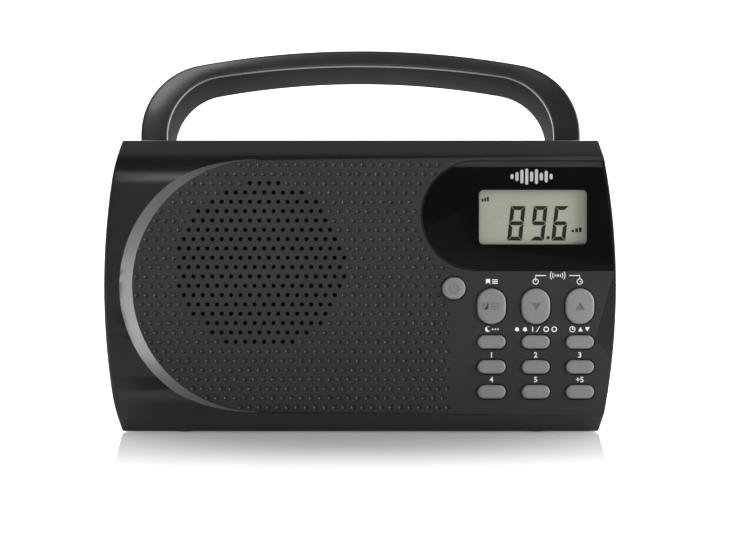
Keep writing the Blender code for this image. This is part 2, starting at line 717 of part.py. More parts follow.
def make_handle(materials):
    front = PIVOT_Y - HANDLE_DEPTH / 2
    share = HANDLE_FRONT_DEPTH / HANDLE_DEPTH
    cover_turn = 0.85 * math.degrees(math.acos(1 - 2 * share))
    cover = handle_band("handle_front", front, HANDLE_SPLIT_Y, cover_turn, inner_edge(0), inner_edge(share),
                        materials["shell"])
    grip = handle_band("handle_rear", HANDLE_SPLIT_Y + GAP, front + HANDLE_DEPTH, 84,
                       inner_edge(share), inner_edge(1), materials["shell"])
    for side, sign in (("left", -1), ("right", 1)):
        start = (sign * (REAR_INNER_HALF - PIN_BITE), PIVOT_Y, PIVOT_Z)
        cut(grip, cylinder(f"leg_hole_{side}", start, (sign, 0, 0), PIN_RADIUS + GAP,
                           2 * PIN_BITE + 2 * GAP, 16))
        make_handle_pin(side, sign, materials)
    pivot = (0, PIVOT_Y, PIVOT_Z)
    set_origin(cover, pivot)
    set_origin(grip, pivot)


def make_handle_pin(side, sign, materials):
    inside = POCKET_IN - WALL - GAP
    head = 0.0025
    length = REAR_INNER_HALF + PIN_BITE - inside + head
    profile = ((0, 0), (0, PIN_HEAD_RADIUS), (head, PIN_HEAD_RADIUS), (head, PIN_RADIUS),
               (length, PIN_RADIUS), (length, 0))
    start = (sign * (inside - head), PIVOT_Y, PIVOT_Z)
    turned(f"handle_pin_{side}", profile, start, (sign, 0, 0), 16, materials["steel"])


def make_display(materials):
    window = prism_y("display_window", window_outline(), FLOOR_Y, FLOOR_Y + WINDOW_THICKNESS,
                     materials["gloss"])
    view = rounded_rectangle(LCD_LEFT, LCD_RIGHT, LCD_BOTTOM, LCD_TOP, LCD_CORNER)
    cut(window, prism_y("view_cut", view, FLOOR_Y - PAST, INNER_Y))
    low = (LCD_LEFT - LCD_BORDER, INNER_Y + GAP, LCD_BOTTOM - LCD_BORDER)
    high = (LCD_RIGHT + LCD_BORDER, INNER_Y + GAP + LCD_GLASS, LCD_TOP + LCD_BORDER)
    box("lcd_panel", low, high, materials["lcd"])
    rim = 0.0010
    outer_low = (low[0] - rim - GAP, low[1], low[2] - rim - GAP)
    outer_high = (high[0] + rim + GAP, high[1] + GAP + rim, high[2] + rim + GAP)
    holder = box("lcd_holder", outer_low, outer_high, materials["holder"])
    cut_low = (low[0] - GAP, low[1] - PAST, low[2] - GAP)
    cut_high = (high[0] + GAP, high[1] + GAP, high[2] + GAP)
    cut(holder, box("lcd_pocket", cut_low, cut_high))


def make_key(name, x, z, width, height, material):
    face = FLOOR_Y - KEY_PROUD
    back = FLANGE_Y + KEY_FLANGE_THICKNESS
    steps = ((face, -KEY_EDGE), (face + KEY_EDGE, 0.0), (FLANGE_Y, 0.0), (FLANGE_Y, KEY_FLANGE),
             (back, KEY_FLANGE), (back, -KEY_STEM_INSET), (KEY_BACK_Y, -KEY_STEM_INSET))
    rings = [[(px, y - FLOOR_Y, pz) for px, pz in stadium(width, height, outset)] for y, outset in steps]
    key = loft(name, rings, material)
    key.location = (x, FLOOR_Y, z)


def make_keys(materials):
    for name, x, z, width, height in key_layout():
        make_key(name, x, z, width, height, materials["key"])


def make_keypad(materials):
    low = (POWER_X - POWER_DIAMETER / 2, PAD_Y, PILL_TOP_Z - 2 * KEY_PITCH_Z - PILL_HEIGHT / 2 - 0.001)
    high = (0.1005, PAD_Y + PAD_THICKNESS, POWER_Z + POWER_DIAMETER / 2)
    pad = box("rubber_keypad", low, high, materials["silicone"])
    for name, x, z, width, height in key_layout():
        outline = moved(stadium(width, height, -KEY_STEM_INSET - 0.0004, 4), x, z)
        fuse(pad, prism_y("bump_" + name, outline, PAD_Y - PAD_BUMP, PAD_Y + PAD_THICKNESS / 2))
    low = (0.030, KEY_BOARD_Y, 0.0145)
    high = (0.1015, KEY_BOARD_Y + BOARD_THICKNESS, 0.0725)
    box("key_board", low, high, materials["board"])


def make_main_board(materials):
    low = (0.008, MAIN_BOARD_Y, 0.0155)
    high = (0.1020, MAIN_BOARD_BACK, 0.0930)
    board = box("main_board", low, high, materials["board"])
    parts = (("tuner_can", (0.028, -0.010, 0.058), (0.058, BITE, 0.082)),
             ("amplifier_chip", (0.068, -0.003, 0.060), (0.088, BITE, 0.067)),
             ("controller_chip", (0.066, -0.002, 0.032), (0.084, BITE, 0.050)))
    for name, start, end in parts:
        fuse(board, box(name, (start[0], MAIN_BOARD_Y + start[1], start[2]),
                        (end[0], MAIN_BOARD_Y + end[1], end[2])))
    for number, x in enumerate((0.020, 0.034, 0.048)):
        start = (x, MAIN_BOARD_Y + BITE, 0.044)
        fuse(board, cylinder(f"capacitor_{number}", start, (0, -1, 0), 0.005, 0.0125, 12))


TRANSFORMER_X = 0.081
TRANSFORMER_Y = 0.012
TRANSFORMER_Z = 0.060
TRANSFORMER_WIDTH = 0.034
TRANSFORMER_HEIGHT = 0.028
TRANSFORMER_STACK = 0.014
CORE_LIMB = 0.0055
COIL_THICKNESS = 0.0037


def make_transformer(materials):
    half = TRANSFORMER_WIDTH / 2
    tall = TRANSFORMER_HEIGHT / 2
    back = TRANSFORMER_Y + TRANSFORMER_STACK
    core = box("transformer_core", (TRANSFORMER_X - half, TRANSFORMER_Y, TRANSFORMER_Z - tall),
               (TRANSFORMER_X + half, back, TRANSFORMER_Z + tall), materials["steel"])
    for sign in (-1, 1):
        edges = sorted((TRANSFORMER_X + sign * CORE_LIMB, TRANSFORMER_X + sign * (half - CORE_LIMB)))
        cut(core, box(f"core_window_{sign}", (edges[0], TRANSFORMER_Y - PAST, TRANSFORMER_Z - tall + CORE_LIMB),
                      (edges[1], back + PAST, TRANSFORMER_Z + tall - CORE_LIMB)))
    reach = half - CORE_LIMB - GAP
    rise = tall - CORE_LIMB - GAP
    coil = box("transformer_coil", (TRANSFORMER_X - reach, TRANSFORMER_Y - COIL_THICKNESS, TRANSFORMER_Z - rise),
               (TRANSFORMER_X + reach, back + COIL_THICKNESS, TRANSFORMER_Z + rise), materials["copper"])
    inner = CORE_LIMB + GAP
    cut(coil, box("coil_hole", (TRANSFORMER_X - inner, TRANSFORMER_Y - GAP, TRANSFORMER_Z - tall),
                  (TRANSFORMER_X + inner, back + GAP, TRANSFORMER_Z + tall)))


def make_ferrite(materials):
    start = (ROD_FROM, ROD_Y, ROD_Z)
    cylinder("ferrite_rod", start, (1, 0, 0), ROD_RADIUS, ROD_TO - ROD_FROM, 16, materials["ferrite"])
    inner = ROD_RADIUS + GAP
    profile = ((0, inner), (0, inner + 0.0010), (0.026, inner + 0.0010), (0.026, inner))
    turned("ferrite_coil", profile, (-0.040, ROD_Y, ROD_Z), (1, 0, 0), 16, materials["copper"],
           ring_shape=True)


def make_speaker(materials):
    centre = (SPEAKER_X, INNER_Y + GAP, SPEAKER_Z)
    axis = (0, 1, 0)
    skin = 0.0008
    inner = CONE_RADIUS + GAP
    neck = 0.016
    frame_profile = ((0, inner), (0, SPEAKER_RADIUS), (FLANGE_THICKNESS, SPEAKER_RADIUS),
                     (FLANGE_THICKNESS, inner + skin), (BASKET_DEPTH, neck + skin),
                     (BASKET_DEPTH + skin, neck), (BASKET_DEPTH + skin, 0.010), (BASKET_DEPTH, 0.010),
                     (BASKET_DEPTH, neck), (FLANGE_THICKNESS + skin, inner))
    frame = turned("speaker_frame", frame_profile, centre, axis, 32, materials["steel"], ring_shape=True)
    start = centre[1] + 0.005
    for number, (wide, tall) in enumerate(((0.012, 0.060), (0.060, 0.012))):
        cut(frame, box(f"basket_window_{number}", (SPEAKER_X - wide, start, SPEAKER_Z - tall),
                       (SPEAKER_X + wide, start + 0.009, SPEAKER_Z + tall)))
    depth = BASKET_DEPTH - 0.004
    cone_profile = ((depth - 0.006, 0), (depth - 0.005, 0.005), (depth - 0.0005, 0.0092), (0.0022, 0.0290),
                    (0.0006, 0.0305), (0.0012, CONE_RADIUS), (0.0012 + skin, CONE_RADIUS),
                    (0.0006 + skin, 0.0309), (0.0022 + skin, 0.0296), (depth + skin, 0.0098),
                    (depth + skin, 0.0080), (depth - 0.0040, 0.0045), (depth - 0.005, 0))
    turned("speaker_cone", cone_profile, centre, axis, 32, materials["paper"])
    start = (SPEAKER_X, centre[1] + BASKET_DEPTH + skin + GAP, SPEAKER_Z)
    cylinder("speaker_magnet", start, axis, MAGNET_RADIUS, MAGNET_LENGTH, 24, materials["ferrite"])


def make_volume(materials):
    teeth = 30
    outline = []
    for i in range(2 * teeth):
        radius = WHEEL_RADIUS if i % 2 else WHEEL_RADIUS - 0.0004
        turn = math.pi * i / teeth
        outline.append((radius * math.cos(turn), radius * math.sin(turn)))
    wheel = prism_y("volume_wheel", outline, 0, WHEEL_THICKNESS, materials["shell"])
    bore = cylinder("wheel_bore", (wheel_x(), wheel_y() - PAST, WHEEL_Z), (0, 1, 0), SHAFT_RADIUS + GAP,
                    3 * PAST, 12)
    cut(wheel, bore)
    wheel.location = (wheel_x(), wheel_y(), WHEEL_Z)
    half = 0.0065
    front = MAIN_BOARD_BACK + GAP
    pot = box("volume_pot", (wheel_x() - half, front, WHEEL_Z - half),
              (wheel_x() + half, wheel_y() - GAP, WHEEL_Z + half), materials["steel"])
    start = (wheel_x(), wheel_y() - GAP - BITE, WHEEL_Z)
    fuse(pot, cylinder("pot_shaft", start, (0, 1, 0), SHAFT_RADIUS, WHEEL_THICKNESS, 12))


def make_headphone_jack(materials):
    tip = side_half(JACK_Z) - 0.0002
    body_end = side_half(JACK_Z + 0.005) - WALL - 0.0006
    jack = box("headphone_jack", (body_end - 0.014, JACK_Y - 0.005, JACK_Z - 0.005),
               (body_end, JACK_Y + 0.005, JACK_Z + 0.005), materials["rubber"])
    start = (body_end - BITE, JACK_Y, JACK_Z)
    fuse(jack, cylinder("jack_barrel", start, (1, 0, 0), JACK_RADIUS, tip - start[0], 20))
    cut(jack, cylinder("jack_bore", (tip - 0.014, JACK_Y, JACK_Z), (1, 0, 0), 0.0018, PAST, 16))


def make_inlet(materials):
    face = BACK_Y - 0.0002
    floor = BACK_Y - INLET_DEPTH
    inlet = prism_y("power_inlet", inlet_outline(INLET_WALL), floor - 0.003, face, materials["rubber"])
    cut(inlet, prism_y("inlet_cavity", inlet_outline(0), floor, BACK_Y + PAST))
    for sign in (-1, 1):
        start = (INLET_X + sign * INLET_PIN_SPREAD, floor - 0.001, INLET_Z)
        fuse(inlet, cylinder(f"inlet_pin_{sign}", start, (0, 1, 0), INLET_PIN_RADIUS, INLET_DEPTH - 0.001, 10))


# Cell rows: the upper row meets its spring on the left, the lower row on the right
def cell_rows():
    low = BAY_BOTTOM + CELL_ROW_GAP + CELL_RADIUS
    return ((low + 2 * CELL_RADIUS + CELL_ROW_GAP, 1), (low, -1))


def contact_face():
    return BAY_HALF - GAP - CONTACT_THICKNESS


def make_cells(materials):
    number = 1
    for z, sign in cell_rows():
        start = -sign * (contact_face() - SPRING_LENGTH - 2 * GAP)
        for place in (0, 1):
            centre = (start + sign * place * (CELL_LENGTH + GAP), CELL_Y, z)
            body = CELL_LENGTH - CELL_NUB
            profile = ((0, 0), (0, CELL_RADIUS - 0.0006), (0.0006, CELL_RADIUS), (body - 0.0006, CELL_RADIUS),
                       (body, CELL_RADIUS - 0.0006), (body, CELL_NUB_RADIUS), (CELL_LENGTH, CELL_NUB_RADIUS),
                       (CELL_LENGTH, 0))
            turned(f"battery_cell_{number}", profile, centre, (sign, 0, 0), 20, materials["cell"])
            number += 1


def make_spring(name, z, sign, material):
    curve = bpy.data.curves.new(name, "CURVE")
    curve.dimensions = "3D"
    curve.bevel_depth = SPRING_WIRE
    curve.bevel_resolution = 1
    curve.use_fill_caps = True
    steps = 30
    spline = curve.splines.new("POLY")
    spline.points.add(steps)
    wall = contact_face() - GAP - SPRING_WIRE
    for i in range(steps + 1):
        share = i / steps
        turn = 2 * math.pi * 3 * share
        radius = SPRING_RADIUS - 0.003 * share
        x = wall - (SPRING_LENGTH - 2 * SPRING_WIRE) * share
        spline.points[i].co = (-sign * x, CELL_Y + radius * math.cos(turn), z + radius * math.sin(turn), 1)
    spring = bpy.data.objects.new(name, curve)
    bpy.context.scene.collection.objects.link(spring)
    curve.materials.append(material)


def make_contacts(materials):
    inner = contact_face()
    outer = BAY_HALF - GAP
    half = 0.009
    upper = cell_rows()[0][0]
    lower = cell_rows()[1][0]
    low = (-outer, CELL_Y - half, lower - half)
    high = (-inner, CELL_Y + half, upper + half)
    box("contact_bridge", low, high, materials["steel"])
    for name, z in (("contact_upper", upper), ("contact_lower", lower)):
        box(name, (inner, CELL_Y - half, z - half), (outer, CELL_Y + half, z + half), materials["steel"])
    make_spring("battery_spring_upper", upper, 1, materials["steel"])
    make_spring("battery_spring_lower", lower, -1, materials["steel"])


def make_feet(materials):
    for name, x, y in foot_places():
        height = CABINET_BOTTOM + FOOT_SINK
        profile = ((0, 0), (0, FOOT_RADIUS - 0.0004), (0.0004, FOOT_RADIUS), (height, FOOT_RADIUS), (height, 0))
        turned("foot_" + name, profile, (x, y, 0), (0, 0, 1), 16, materials["rubber"])


def make_screws(materials):
    for name, x, z in screw_places():
        seat = PART_GAP_Y + WELL_SOLE + GAP
        profile = ((-SCREW_LENGTH, 0), (0.002 - SCREW_LENGTH, SCREW_RADIUS), (0, SCREW_RADIUS),
                   (0, SCREW_HEAD_RADIUS), (SCREW_HEAD * 0.6, SCREW_HEAD_RADIUS),
                   (SCREW_HEAD, SCREW_HEAD_RADIUS * 0.6), (SCREW_HEAD, 0))
        turned("screw_" + name, profile, (x, seat, z), (0, 1, 0), 12, materials["steel"])


# Fork or tongue outline seen from above: a round end about the tilt pin
def pin_plate(name, reach, direction, z_from, z_to, material=None):
    if direction == "x":
        outline = arc((AERIAL_X, AERIAL_Y), TONGUE_RADIUS, -90, 90, 6)
        outline += [(AERIAL_X - reach, AERIAL_Y + TONGUE_RADIUS), (AERIAL_X - reach, AERIAL_Y - TONGUE_RADIUS)]
    else:
        outline = arc((AERIAL_X, AERIAL_Y), TONGUE_RADIUS, 0, 180, 6)
        outline += [(AERIAL_X - TONGUE_RADIUS, AERIAL_Y - reach), (AERIAL_X + TONGUE_RADIUS, AERIAL_Y - reach)]
    return loft(name, [[(x, y, z) for x, y in outline] for z in (z_from, z_to)], material)


def make_aerial_base(materials):
    disc_back = AERIAL_Y - TONGUE_RADIUS - 4 * GAP
    start = (AERIAL_X, CHANNEL_Y - WALL - 2 * GAP, AERIAL_Z)
    front = CHANNEL_Y + GAP
    profile = ((-0.001, 0), (-0.001, 0.0015), (front - start[1], 0.0015), (front - start[1], 0.0036),
               (disc_back - start[1], 0.0036), (disc_back - start[1], 0))
    swivel = turned("aerial_swivel", profile, start, (0, 1, 0), 20, materials["chrome"])
    reach = AERIAL_Y - disc_back + BITE
    fuse(swivel, pin_plate("aerial_tongue", reach, "y", AERIAL_Z - TONGUE_HALF, AERIAL_Z + TONGUE_HALF))
    hole = (AERIAL_X, AERIAL_Y, AERIAL_Z - PAST)
    cut(swivel, cylinder("tongue_hole", hole, (0, 0, 1), 0.0008 + GAP, 2 * PAST, 10))
    set_origin(swivel, (AERIAL_X, AERIAL_Y, AERIAL_Z))
    start = (AERIAL_X, AERIAL_Y, AERIAL_Z - AERIAL_RADII[0])
    cylinder("aerial_pin", start, (0, 0, 1), 0.0008, 2 * AERIAL_RADII[0], 10, materials["steel"])


def make_aerial_tube(materials):
    reach = 0.010
    radius = AERIAL_RADII[0]
    tube = pin_plate("aerial_tube_1", reach, "x", AERIAL_Z - radius, AERIAL_Z + radius, materials["chrome"])
    slot_low = (AERIAL_X - TONGUE_RADIUS - 4 * GAP, AERIAL_Y - PAST / 4, AERIAL_Z - TONGUE_HALF - GAP)
    slot_high = (AERIAL_X + PAST, AERIAL_Y + PAST / 4, AERIAL_Z + TONGUE_HALF + GAP)
    cut(tube, box("fork_slot", slot_low, slot_high))
    hole = (AERIAL_X, AERIAL_Y, AERIAL_Z - PAST)
    cut(tube, cylinder("fork_hole", hole, (0, 0, 1), 0.0008 + GAP, 2 * PAST, 10))
    start = (AERIAL_X - reach + 0.002, AERIAL_Y, AERIAL_Z)
    fuse(tube, cylinder("tube_barrel", start, (-1, 0, 0), radius + BITE / 5, AERIAL_LENGTH, 14))
    bore = (start[0] - 0.003, AERIAL_Y, AERIAL_Z)
    cut(tube, cylinder("tube_bore", bore, (-1, 0, 0), AERIAL_BORES[0], AERIAL_LENGTH + PAST, 14))
    set_origin(tube, (AERIAL_X, AERIAL_Y, AERIAL_Z))


def make_aerial_sections(materials):
    root = AERIAL_X - 0.010 + 0.002 - 0.003 - GAP
    end = AERIAL_LENGTH - 0.001
    for number in (2, 3):
        radius = AERIAL_RADII[number - 1]
        bore = AERIAL_BORES[number - 1]
        start = 0.0006 * (number - 2)
        length = end + 0.0015 * (number - 1)
        profile = ((start, 0), (start, radius), (length, radius), (length, bore), (start + 0.0006 - GAP, bore),
                   (start + 0.0006 - GAP, 0))
        section = turned(f"aerial_tube_{number}", profile, (root, AERIAL_Y, AERIAL_Z), (-1, 0, 0), 12,
                         materials["chrome"])
        set_origin(section, (root, AERIAL_Y, AERIAL_Z))
    length = end + 0.0048
    profile = ((0.0012, 0), (0.0012, AERIAL_RADII[3]), (length, AERIAL_RADII[3]), (length, 0.0026),
               (length + 0.0040, 0.0026), (length + 0.0050, 0.0016), (length + 0.0050, 0))
    rod = turned("aerial_tip_rod", profile, (root, AERIAL_Y, AERIAL_Z), (-1, 0, 0), 12, materials["chrome"])
    set_origin(rod, (root, AERIAL_Y, AERIAL_Z))


def build_radio():
    clear_scene()
    materials = make_materials()
    make_front_cabinet(materials)
    make_rear_cabinet(materials)
    make_battery_door(materials)
    make_handle(materials)
    make_display(materials)
    make_keys(materials)
    make_keypad(materials)
    make_main_board(materials)
    make_transformer(materials)
    make_ferrite(materials)
    make_speaker(materials)
    make_volume(materials)
    make_headphone_jack(materials)
    make_inlet(materials)
    make_cells(materials)
    make_contacts(materials)
    make_feet(materials)
    make_screws(materials)
    make_aerial_base(materials)
    make_aerial_tube(materials)
    make_aerial_sections(materials)


build_radio()
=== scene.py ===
import math

import bmesh
import bpy
from mathutils import Matrix, Vector
from mathutils.geometry import delaunay_2d_cdt


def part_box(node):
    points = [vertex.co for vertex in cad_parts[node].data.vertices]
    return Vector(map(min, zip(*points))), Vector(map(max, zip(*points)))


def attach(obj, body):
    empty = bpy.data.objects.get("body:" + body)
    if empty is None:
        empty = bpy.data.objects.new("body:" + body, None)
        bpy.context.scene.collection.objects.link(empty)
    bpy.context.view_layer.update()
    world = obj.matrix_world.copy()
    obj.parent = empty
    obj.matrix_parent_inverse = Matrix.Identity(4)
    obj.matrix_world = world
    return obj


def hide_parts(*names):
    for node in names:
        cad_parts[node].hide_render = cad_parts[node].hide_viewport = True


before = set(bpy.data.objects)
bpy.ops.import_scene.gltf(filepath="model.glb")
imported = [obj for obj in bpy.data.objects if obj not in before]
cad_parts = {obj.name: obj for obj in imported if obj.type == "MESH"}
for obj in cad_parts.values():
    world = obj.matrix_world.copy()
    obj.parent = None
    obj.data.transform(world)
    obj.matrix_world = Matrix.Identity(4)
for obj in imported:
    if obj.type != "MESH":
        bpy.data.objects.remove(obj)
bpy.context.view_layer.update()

mm = 0.001


# making meshes

def meshObject(name, bm, smooth=None):
    bmesh.ops.recalc_face_normals(bm, faces=bm.faces)
    mesh = bpy.data.meshes.new(name)
    bm.to_mesh(mesh)
    bm.free()
    if smooth is not None:
        mesh.shade_smooth()
        mesh.set_sharp_from_angle(angle=math.radians(smooth))
    piece = bpy.data.objects.new(name, mesh)
    bpy.context.scene.collection.objects.link(piece)
    return piece


# closed skin through a row of point rings; looped joins the last ring to the first
def skin(name, rings, smooth=None, looped=False):
    bm = bmesh.new()
    rows = [[bm.verts.new(p) for p in ring] for ring in rings]
    pairs = list(zip(rows, rows[1:]))
    if looped:
        pairs.append((rows[-1], rows[0]))
    for first, second in pairs:
        for i in range(len(first)):
            j = (i + 1) % len(first)
            bm.faces.new((first[i], first[j], second[j], second[i]))
    if not looped:
        bm.faces.new(rows[0])
        bm.faces.new(rows[-1])
    return meshObject(name, bm, smooth)


def slab(name, outline, yFront, yBack, smooth=None):
    return skin(name, [[(x, y, z) for x, z in outline] for y in (yFront, yBack)], smooth)


def block(name, low, high):
    outline = [(low[0], low[2]), (high[0], low[2]), (high[0], high[2]), (low[0], high[2])]
    return slab(name, outline, low[1], high[1])


# turned piece from (along, radius) points; a radius of 0 closes an end
def turnedPiece(name, profile, start, axis, segments=48, smooth=35, ringShape=False):
    bm = bmesh.new()
    place = Matrix.Translation(start) @ Vector((0, 0, 1)).rotation_difference(Vector(axis)).to_matrix().to_4x4()
    rows = []
    for along, radius in profile:
        if radius == 0:
            rows.append([bm.verts.new(place @ Vector((0, 0, along)))])
            continue
        ring = []
        for i in range(segments):
            turn = 2 * math.pi * i / segments
            ring.append(bm.verts.new(place @ Vector((radius * math.cos(turn), radius * math.sin(turn), along))))
        rows.append(ring)
    pairs = list(zip(rows, rows[1:]))
    if ringShape:
        pairs.append((rows[-1], rows[0]))
    for first, second in pairs:
        for i in range(segments):
            j = (i + 1) % segments
            corners = [row[k % len(row)] for row, k in ((first, i), (first, j), (second, j), (second, i))]
            bm.faces.new(list(dict.fromkeys(corners)))
    return meshObject(name, bm, smooth)


def arcPoints(centre, radius, start, end, steps):
    turns = [math.radians(start + (end - start) * i / steps) for i in range(steps + 1)]
    return [(centre[0] + radius * math.cos(t), centre[1] + radius * math.sin(t)) for t in turns]


# open polyline with its inner corners rounded
def roundedPath(points, radii, steps):
    path = [Vector(points[0])]
    for before, corner, after, radius in zip(points, points[1:], points[2:], radii):
        here = Vector(corner)
        back = (Vector(before) - here).normalized()
        on = (Vector(after) - here).normalized()
        angle = back.angle(on)
        reach = radius / math.tan(angle / 2)
        middle = here + (back + on).normalized() * radius / math.sin(angle / 2)
        first = here + back * reach - middle
        turn = first.angle_signed(here + on * reach - middle)
        for i in range(steps + 1):
            path.append(middle + Matrix.Rotation(-turn * i / steps, 2) @ first)
    path.append(Vector(points[-1]))
    return path


def filledPath(path, spacing):
    filled = [path[0]]
    for point in path[1:]:
        start = filled[-1]
        count = max(1, math.ceil((point - start).length / spacing))
        filled += [start.lerp(point, i / count) for i in range(1, count + 1)]
    return filled


def boolean(target, helper, operation="DIFFERENCE"):
    modifier = target.modifiers.new("cut", "BOOLEAN")
    modifier.object = helper
    modifier.operation = operation
    modifier.solver = "EXACT"
    bpy.context.view_layer.update()
    shaped = target.evaluated_get(bpy.context.evaluated_depsgraph_get())
    mesh = bpy.data.meshes.new_from_object(shaped)
    target.modifiers.clear()
    target.data = mesh
    bpy.data.objects.remove(helper, do_unlink=True)
    return target


def resmooth(piece, degrees):
    piece.data.shade_smooth()
    piece.data.set_sharp_from_angle(angle=math.radians(degrees))
    return piece


def stadium(width, height, outset=0.0, steps=12):
    radius = min(width, height) / 2
    alongX = width / 2 - radius
    alongZ = height / 2 - radius
    radius += outset
    if height > width:
        return arcPoints((0, alongZ), radius, 0, 180, steps) + arcPoints((0, -alongZ), radius, 180, 360, steps)
    if width > height:
        return arcPoints((alongX, 0), radius, -90, 90, steps) + arcPoints((-alongX, 0), radius, 90, 270, steps)
    return arcPoints((0, 0), radius, 0, 360 - 180 / steps, 2 * steps - 1)


def shifted(outline, x, z):
    return [(x + px, z + pz) for px, pz in outline]


def roundedBox(left, right, bottom, top, radius, steps=6):
    outline = []
    for x, z, start in ((right, bottom, -90), (right, top, 0), (left, top, 90), (left, bottom, 180)):
        centre = (x - radius if x == right else x + radius, z - radius if z == top else z + radius)
        outline += arcPoints(centre, radius, start, start + 90, steps)
    return outline


def dress(piece, body, material, replaced=()):
    piece.data.materials.clear()
    piece.data.materials.append(material)
    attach(piece, body)
    if replaced:
        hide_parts(*replaced)
    return piece


# materials

plasticLook = dict(grainScale=2600.0, grainDepth=0.012 * mm, mottleScale=38.0)


def newMaterial(name):
    material = bpy.data.materials.new(name)
    material.use_nodes = True
    return material, material.node_tree.nodes, material.node_tree.links, material.node_tree.nodes["Principled BSDF"]


# two colours mixed by a noise, fine bump grain and a little change in roughness
def mouldedPlastic(name, dark, light, roughness, grain, scale, spread=0.06):
    material, nodes, links, shader = newMaterial(name)
    place = nodes.new("ShaderNodeTexCoord")
    mottle = nodes.new("ShaderNodeTexNoise")
    mottle.inputs["Scale"].default_value = plasticLook["mottleScale"]
    mottle.inputs["Detail"].default_value = 6.0
    fine = nodes.new("ShaderNodeTexNoise")
    fine.inputs["Scale"].default_value = scale
    fine.inputs["Detail"].default_value = 3.0
    ramp = nodes.new("ShaderNodeValToRGB")
    ramp.color_ramp.elements[0].position = 0.3
    ramp.color_ramp.elements[0].color = (*dark, 1)
    ramp.color_ramp.elements[1].position = 0.7
    ramp.color_ramp.elements[1].color = (*light, 1)
    rough = nodes.new("ShaderNodeMapRange")
    rough.inputs["To Min"].default_value = roughness - spread
    rough.inputs["To Max"].default_value = roughness + spread
    bump = nodes.new("ShaderNodeBump")
    bump.inputs["Strength"].default_value = 1.0
    bump.inputs["Distance"].default_value = grain
    links.new(place.outputs["Object"], mottle.inputs["Vector"])
    links.new(place.outputs["Object"], fine.inputs["Vector"])
    links.new(mottle.outputs["Fac"], ramp.inputs["Fac"])
    links.new(ramp.outputs["Color"], shader.inputs["Base Color"])
    links.new(mottle.outputs["Fac"], rough.inputs["Value"])
    links.new(rough.outputs["Result"], shader.inputs["Roughness"])
    links.new(fine.outputs["Fac"], bump.inputs["Height"])
    links.new(bump.outputs["Normal"], shader.inputs["Normal"])
    return material


def brushedMetal(name, dark, light, roughness, stretch):
    material = mouldedPlastic(name, dark, light, roughness, 0.004 * mm, 900.0)
    nodes = material.node_tree.nodes
    links = material.node_tree.links
    nodes["Principled BSDF"].inputs["Metallic"].default_value = 1.0
    mapping = nodes.new("ShaderNodeMapping")
    mapping.inputs["Scale"].default_value = stretch
    place = next(n for n in nodes if n.type == "TEX_COORD")
    links.new(place.outputs["Object"], mapping.inputs["Vector"])
    for node in nodes:
        if node.type == "TEX_NOISE":
            links.new(mapping.outputs["Vector"], node.inputs["Vector"])
    return material


shellPlastic = mouldedPlastic("shellPlastic", (0.0058, 0.0058, 0.0060), (0.0076, 0.0076, 0.0078), 0.25,
                              0.004 * mm, plasticLook["grainScale"], spread=0.03)
fieldPlastic = mouldedPlastic("fieldPlastic", (0.0120, 0.0120, 0.0124), (0.0150, 0.0150, 0.0154), 0.42,
                              plasticLook["grainDepth"], plasticLook["grainScale"])
# rim bevel paint about ten times lighter than the shell: a painted highlight on the same plastic, standing in for the
# bevel catching the side light
rimHighlightPaint = mouldedPlastic("rimHighlightPaint", (0.058, 0.058, 0.059), (0.070, 0.070, 0.071), 0.40,
                            0.006 * mm, plasticLook["grainScale"])
# lighter paint for the display window's rounded arc edge and its top bevel band: a painted highlight and reflection on
# the black gloss
bandHighlightPaint = mouldedPlastic("bandHighlightPaint", (0.016, 0.016, 0.017), (0.021, 0.021, 0.022), 0.36,
                             0.003 * mm, plasticLook["grainScale"])
gripPlastic = mouldedPlastic("gripPlastic", (0.0045, 0.0045, 0.0047), (0.0062, 0.0062, 0.0064), 0.62,
                             0.012 * mm, plasticLook["grainScale"])
voidPaint = mouldedPlastic("voidPaint", (0.0010, 0.0010, 0.0010), (0.0022, 0.0022, 0.0022), 0.9, 0.02 * mm, 900.0)
backPlastic = mouldedPlastic("backPlastic", (0.0110, 0.0110, 0.0115), (0.0155, 0.0155, 0.0160), 0.50,
                             0.030 * mm, 1500.0)
handlePlastic = mouldedPlastic("handlePlastic", (0.0100, 0.0100, 0.0102), (0.0120, 0.0120, 0.0122), 0.22,
                               0.004 * mm, plasticLook["grainScale"], spread=0.04)
keyRubber = mouldedPlastic("keyRubber", (0.150, 0.150, 0.150), (0.172, 0.172, 0.172), 0.46, 0.010 * mm, 2200.0)
# darker rubber for the key marks: painted shade standing in for the shading of the raised marks and recessed arrows,
# which are the key's own colour
keyMarkShadePaint = mouldedPlastic("keyMarkShadePaint", (0.090, 0.090, 0.090), (0.105, 0.105, 0.105), 0.5, 0.010 * mm,
                               2200.0)
windowGloss = mouldedPlastic("windowGloss", (0.0028, 0.0028, 0.0030), (0.0036, 0.0036, 0.0038), 0.07,
                             0.0006 * mm, 60.0, spread=0.015)
displayGlass = mouldedPlastic("displayGlass", (0.245, 0.252, 0.203), (0.262, 0.270, 0.218), 0.28, 0.002 * mm,
                              3000.0)
segmentInk = mouldedPlastic("segmentInk", (0.012, 0.013, 0.010), (0.016, 0.017, 0.013), 0.5, 0.002 * mm, 3000.0)
whitePrint = mouldedPlastic("whitePrint", (0.66, 0.66, 0.66), (0.78, 0.78, 0.78), 0.55, 0.006 * mm, 5000.0)
silverPrint = mouldedPlastic("silverPrint", (0.30, 0.30, 0.30), (0.40, 0.40, 0.40), 0.42, 0.006 * mm, 5000.0)
footRubber = mouldedPlastic("footRubber", (0.012, 0.012, 0.012), (0.018, 0.018, 0.018), 0.8, 0.03 * mm, 1800.0)
conePaper = mouldedPlastic("conePaper", (0.0015, 0.0015, 0.0015), (0.0030, 0.0030, 0.0030), 0.9, 0.08 * mm, 900.0)
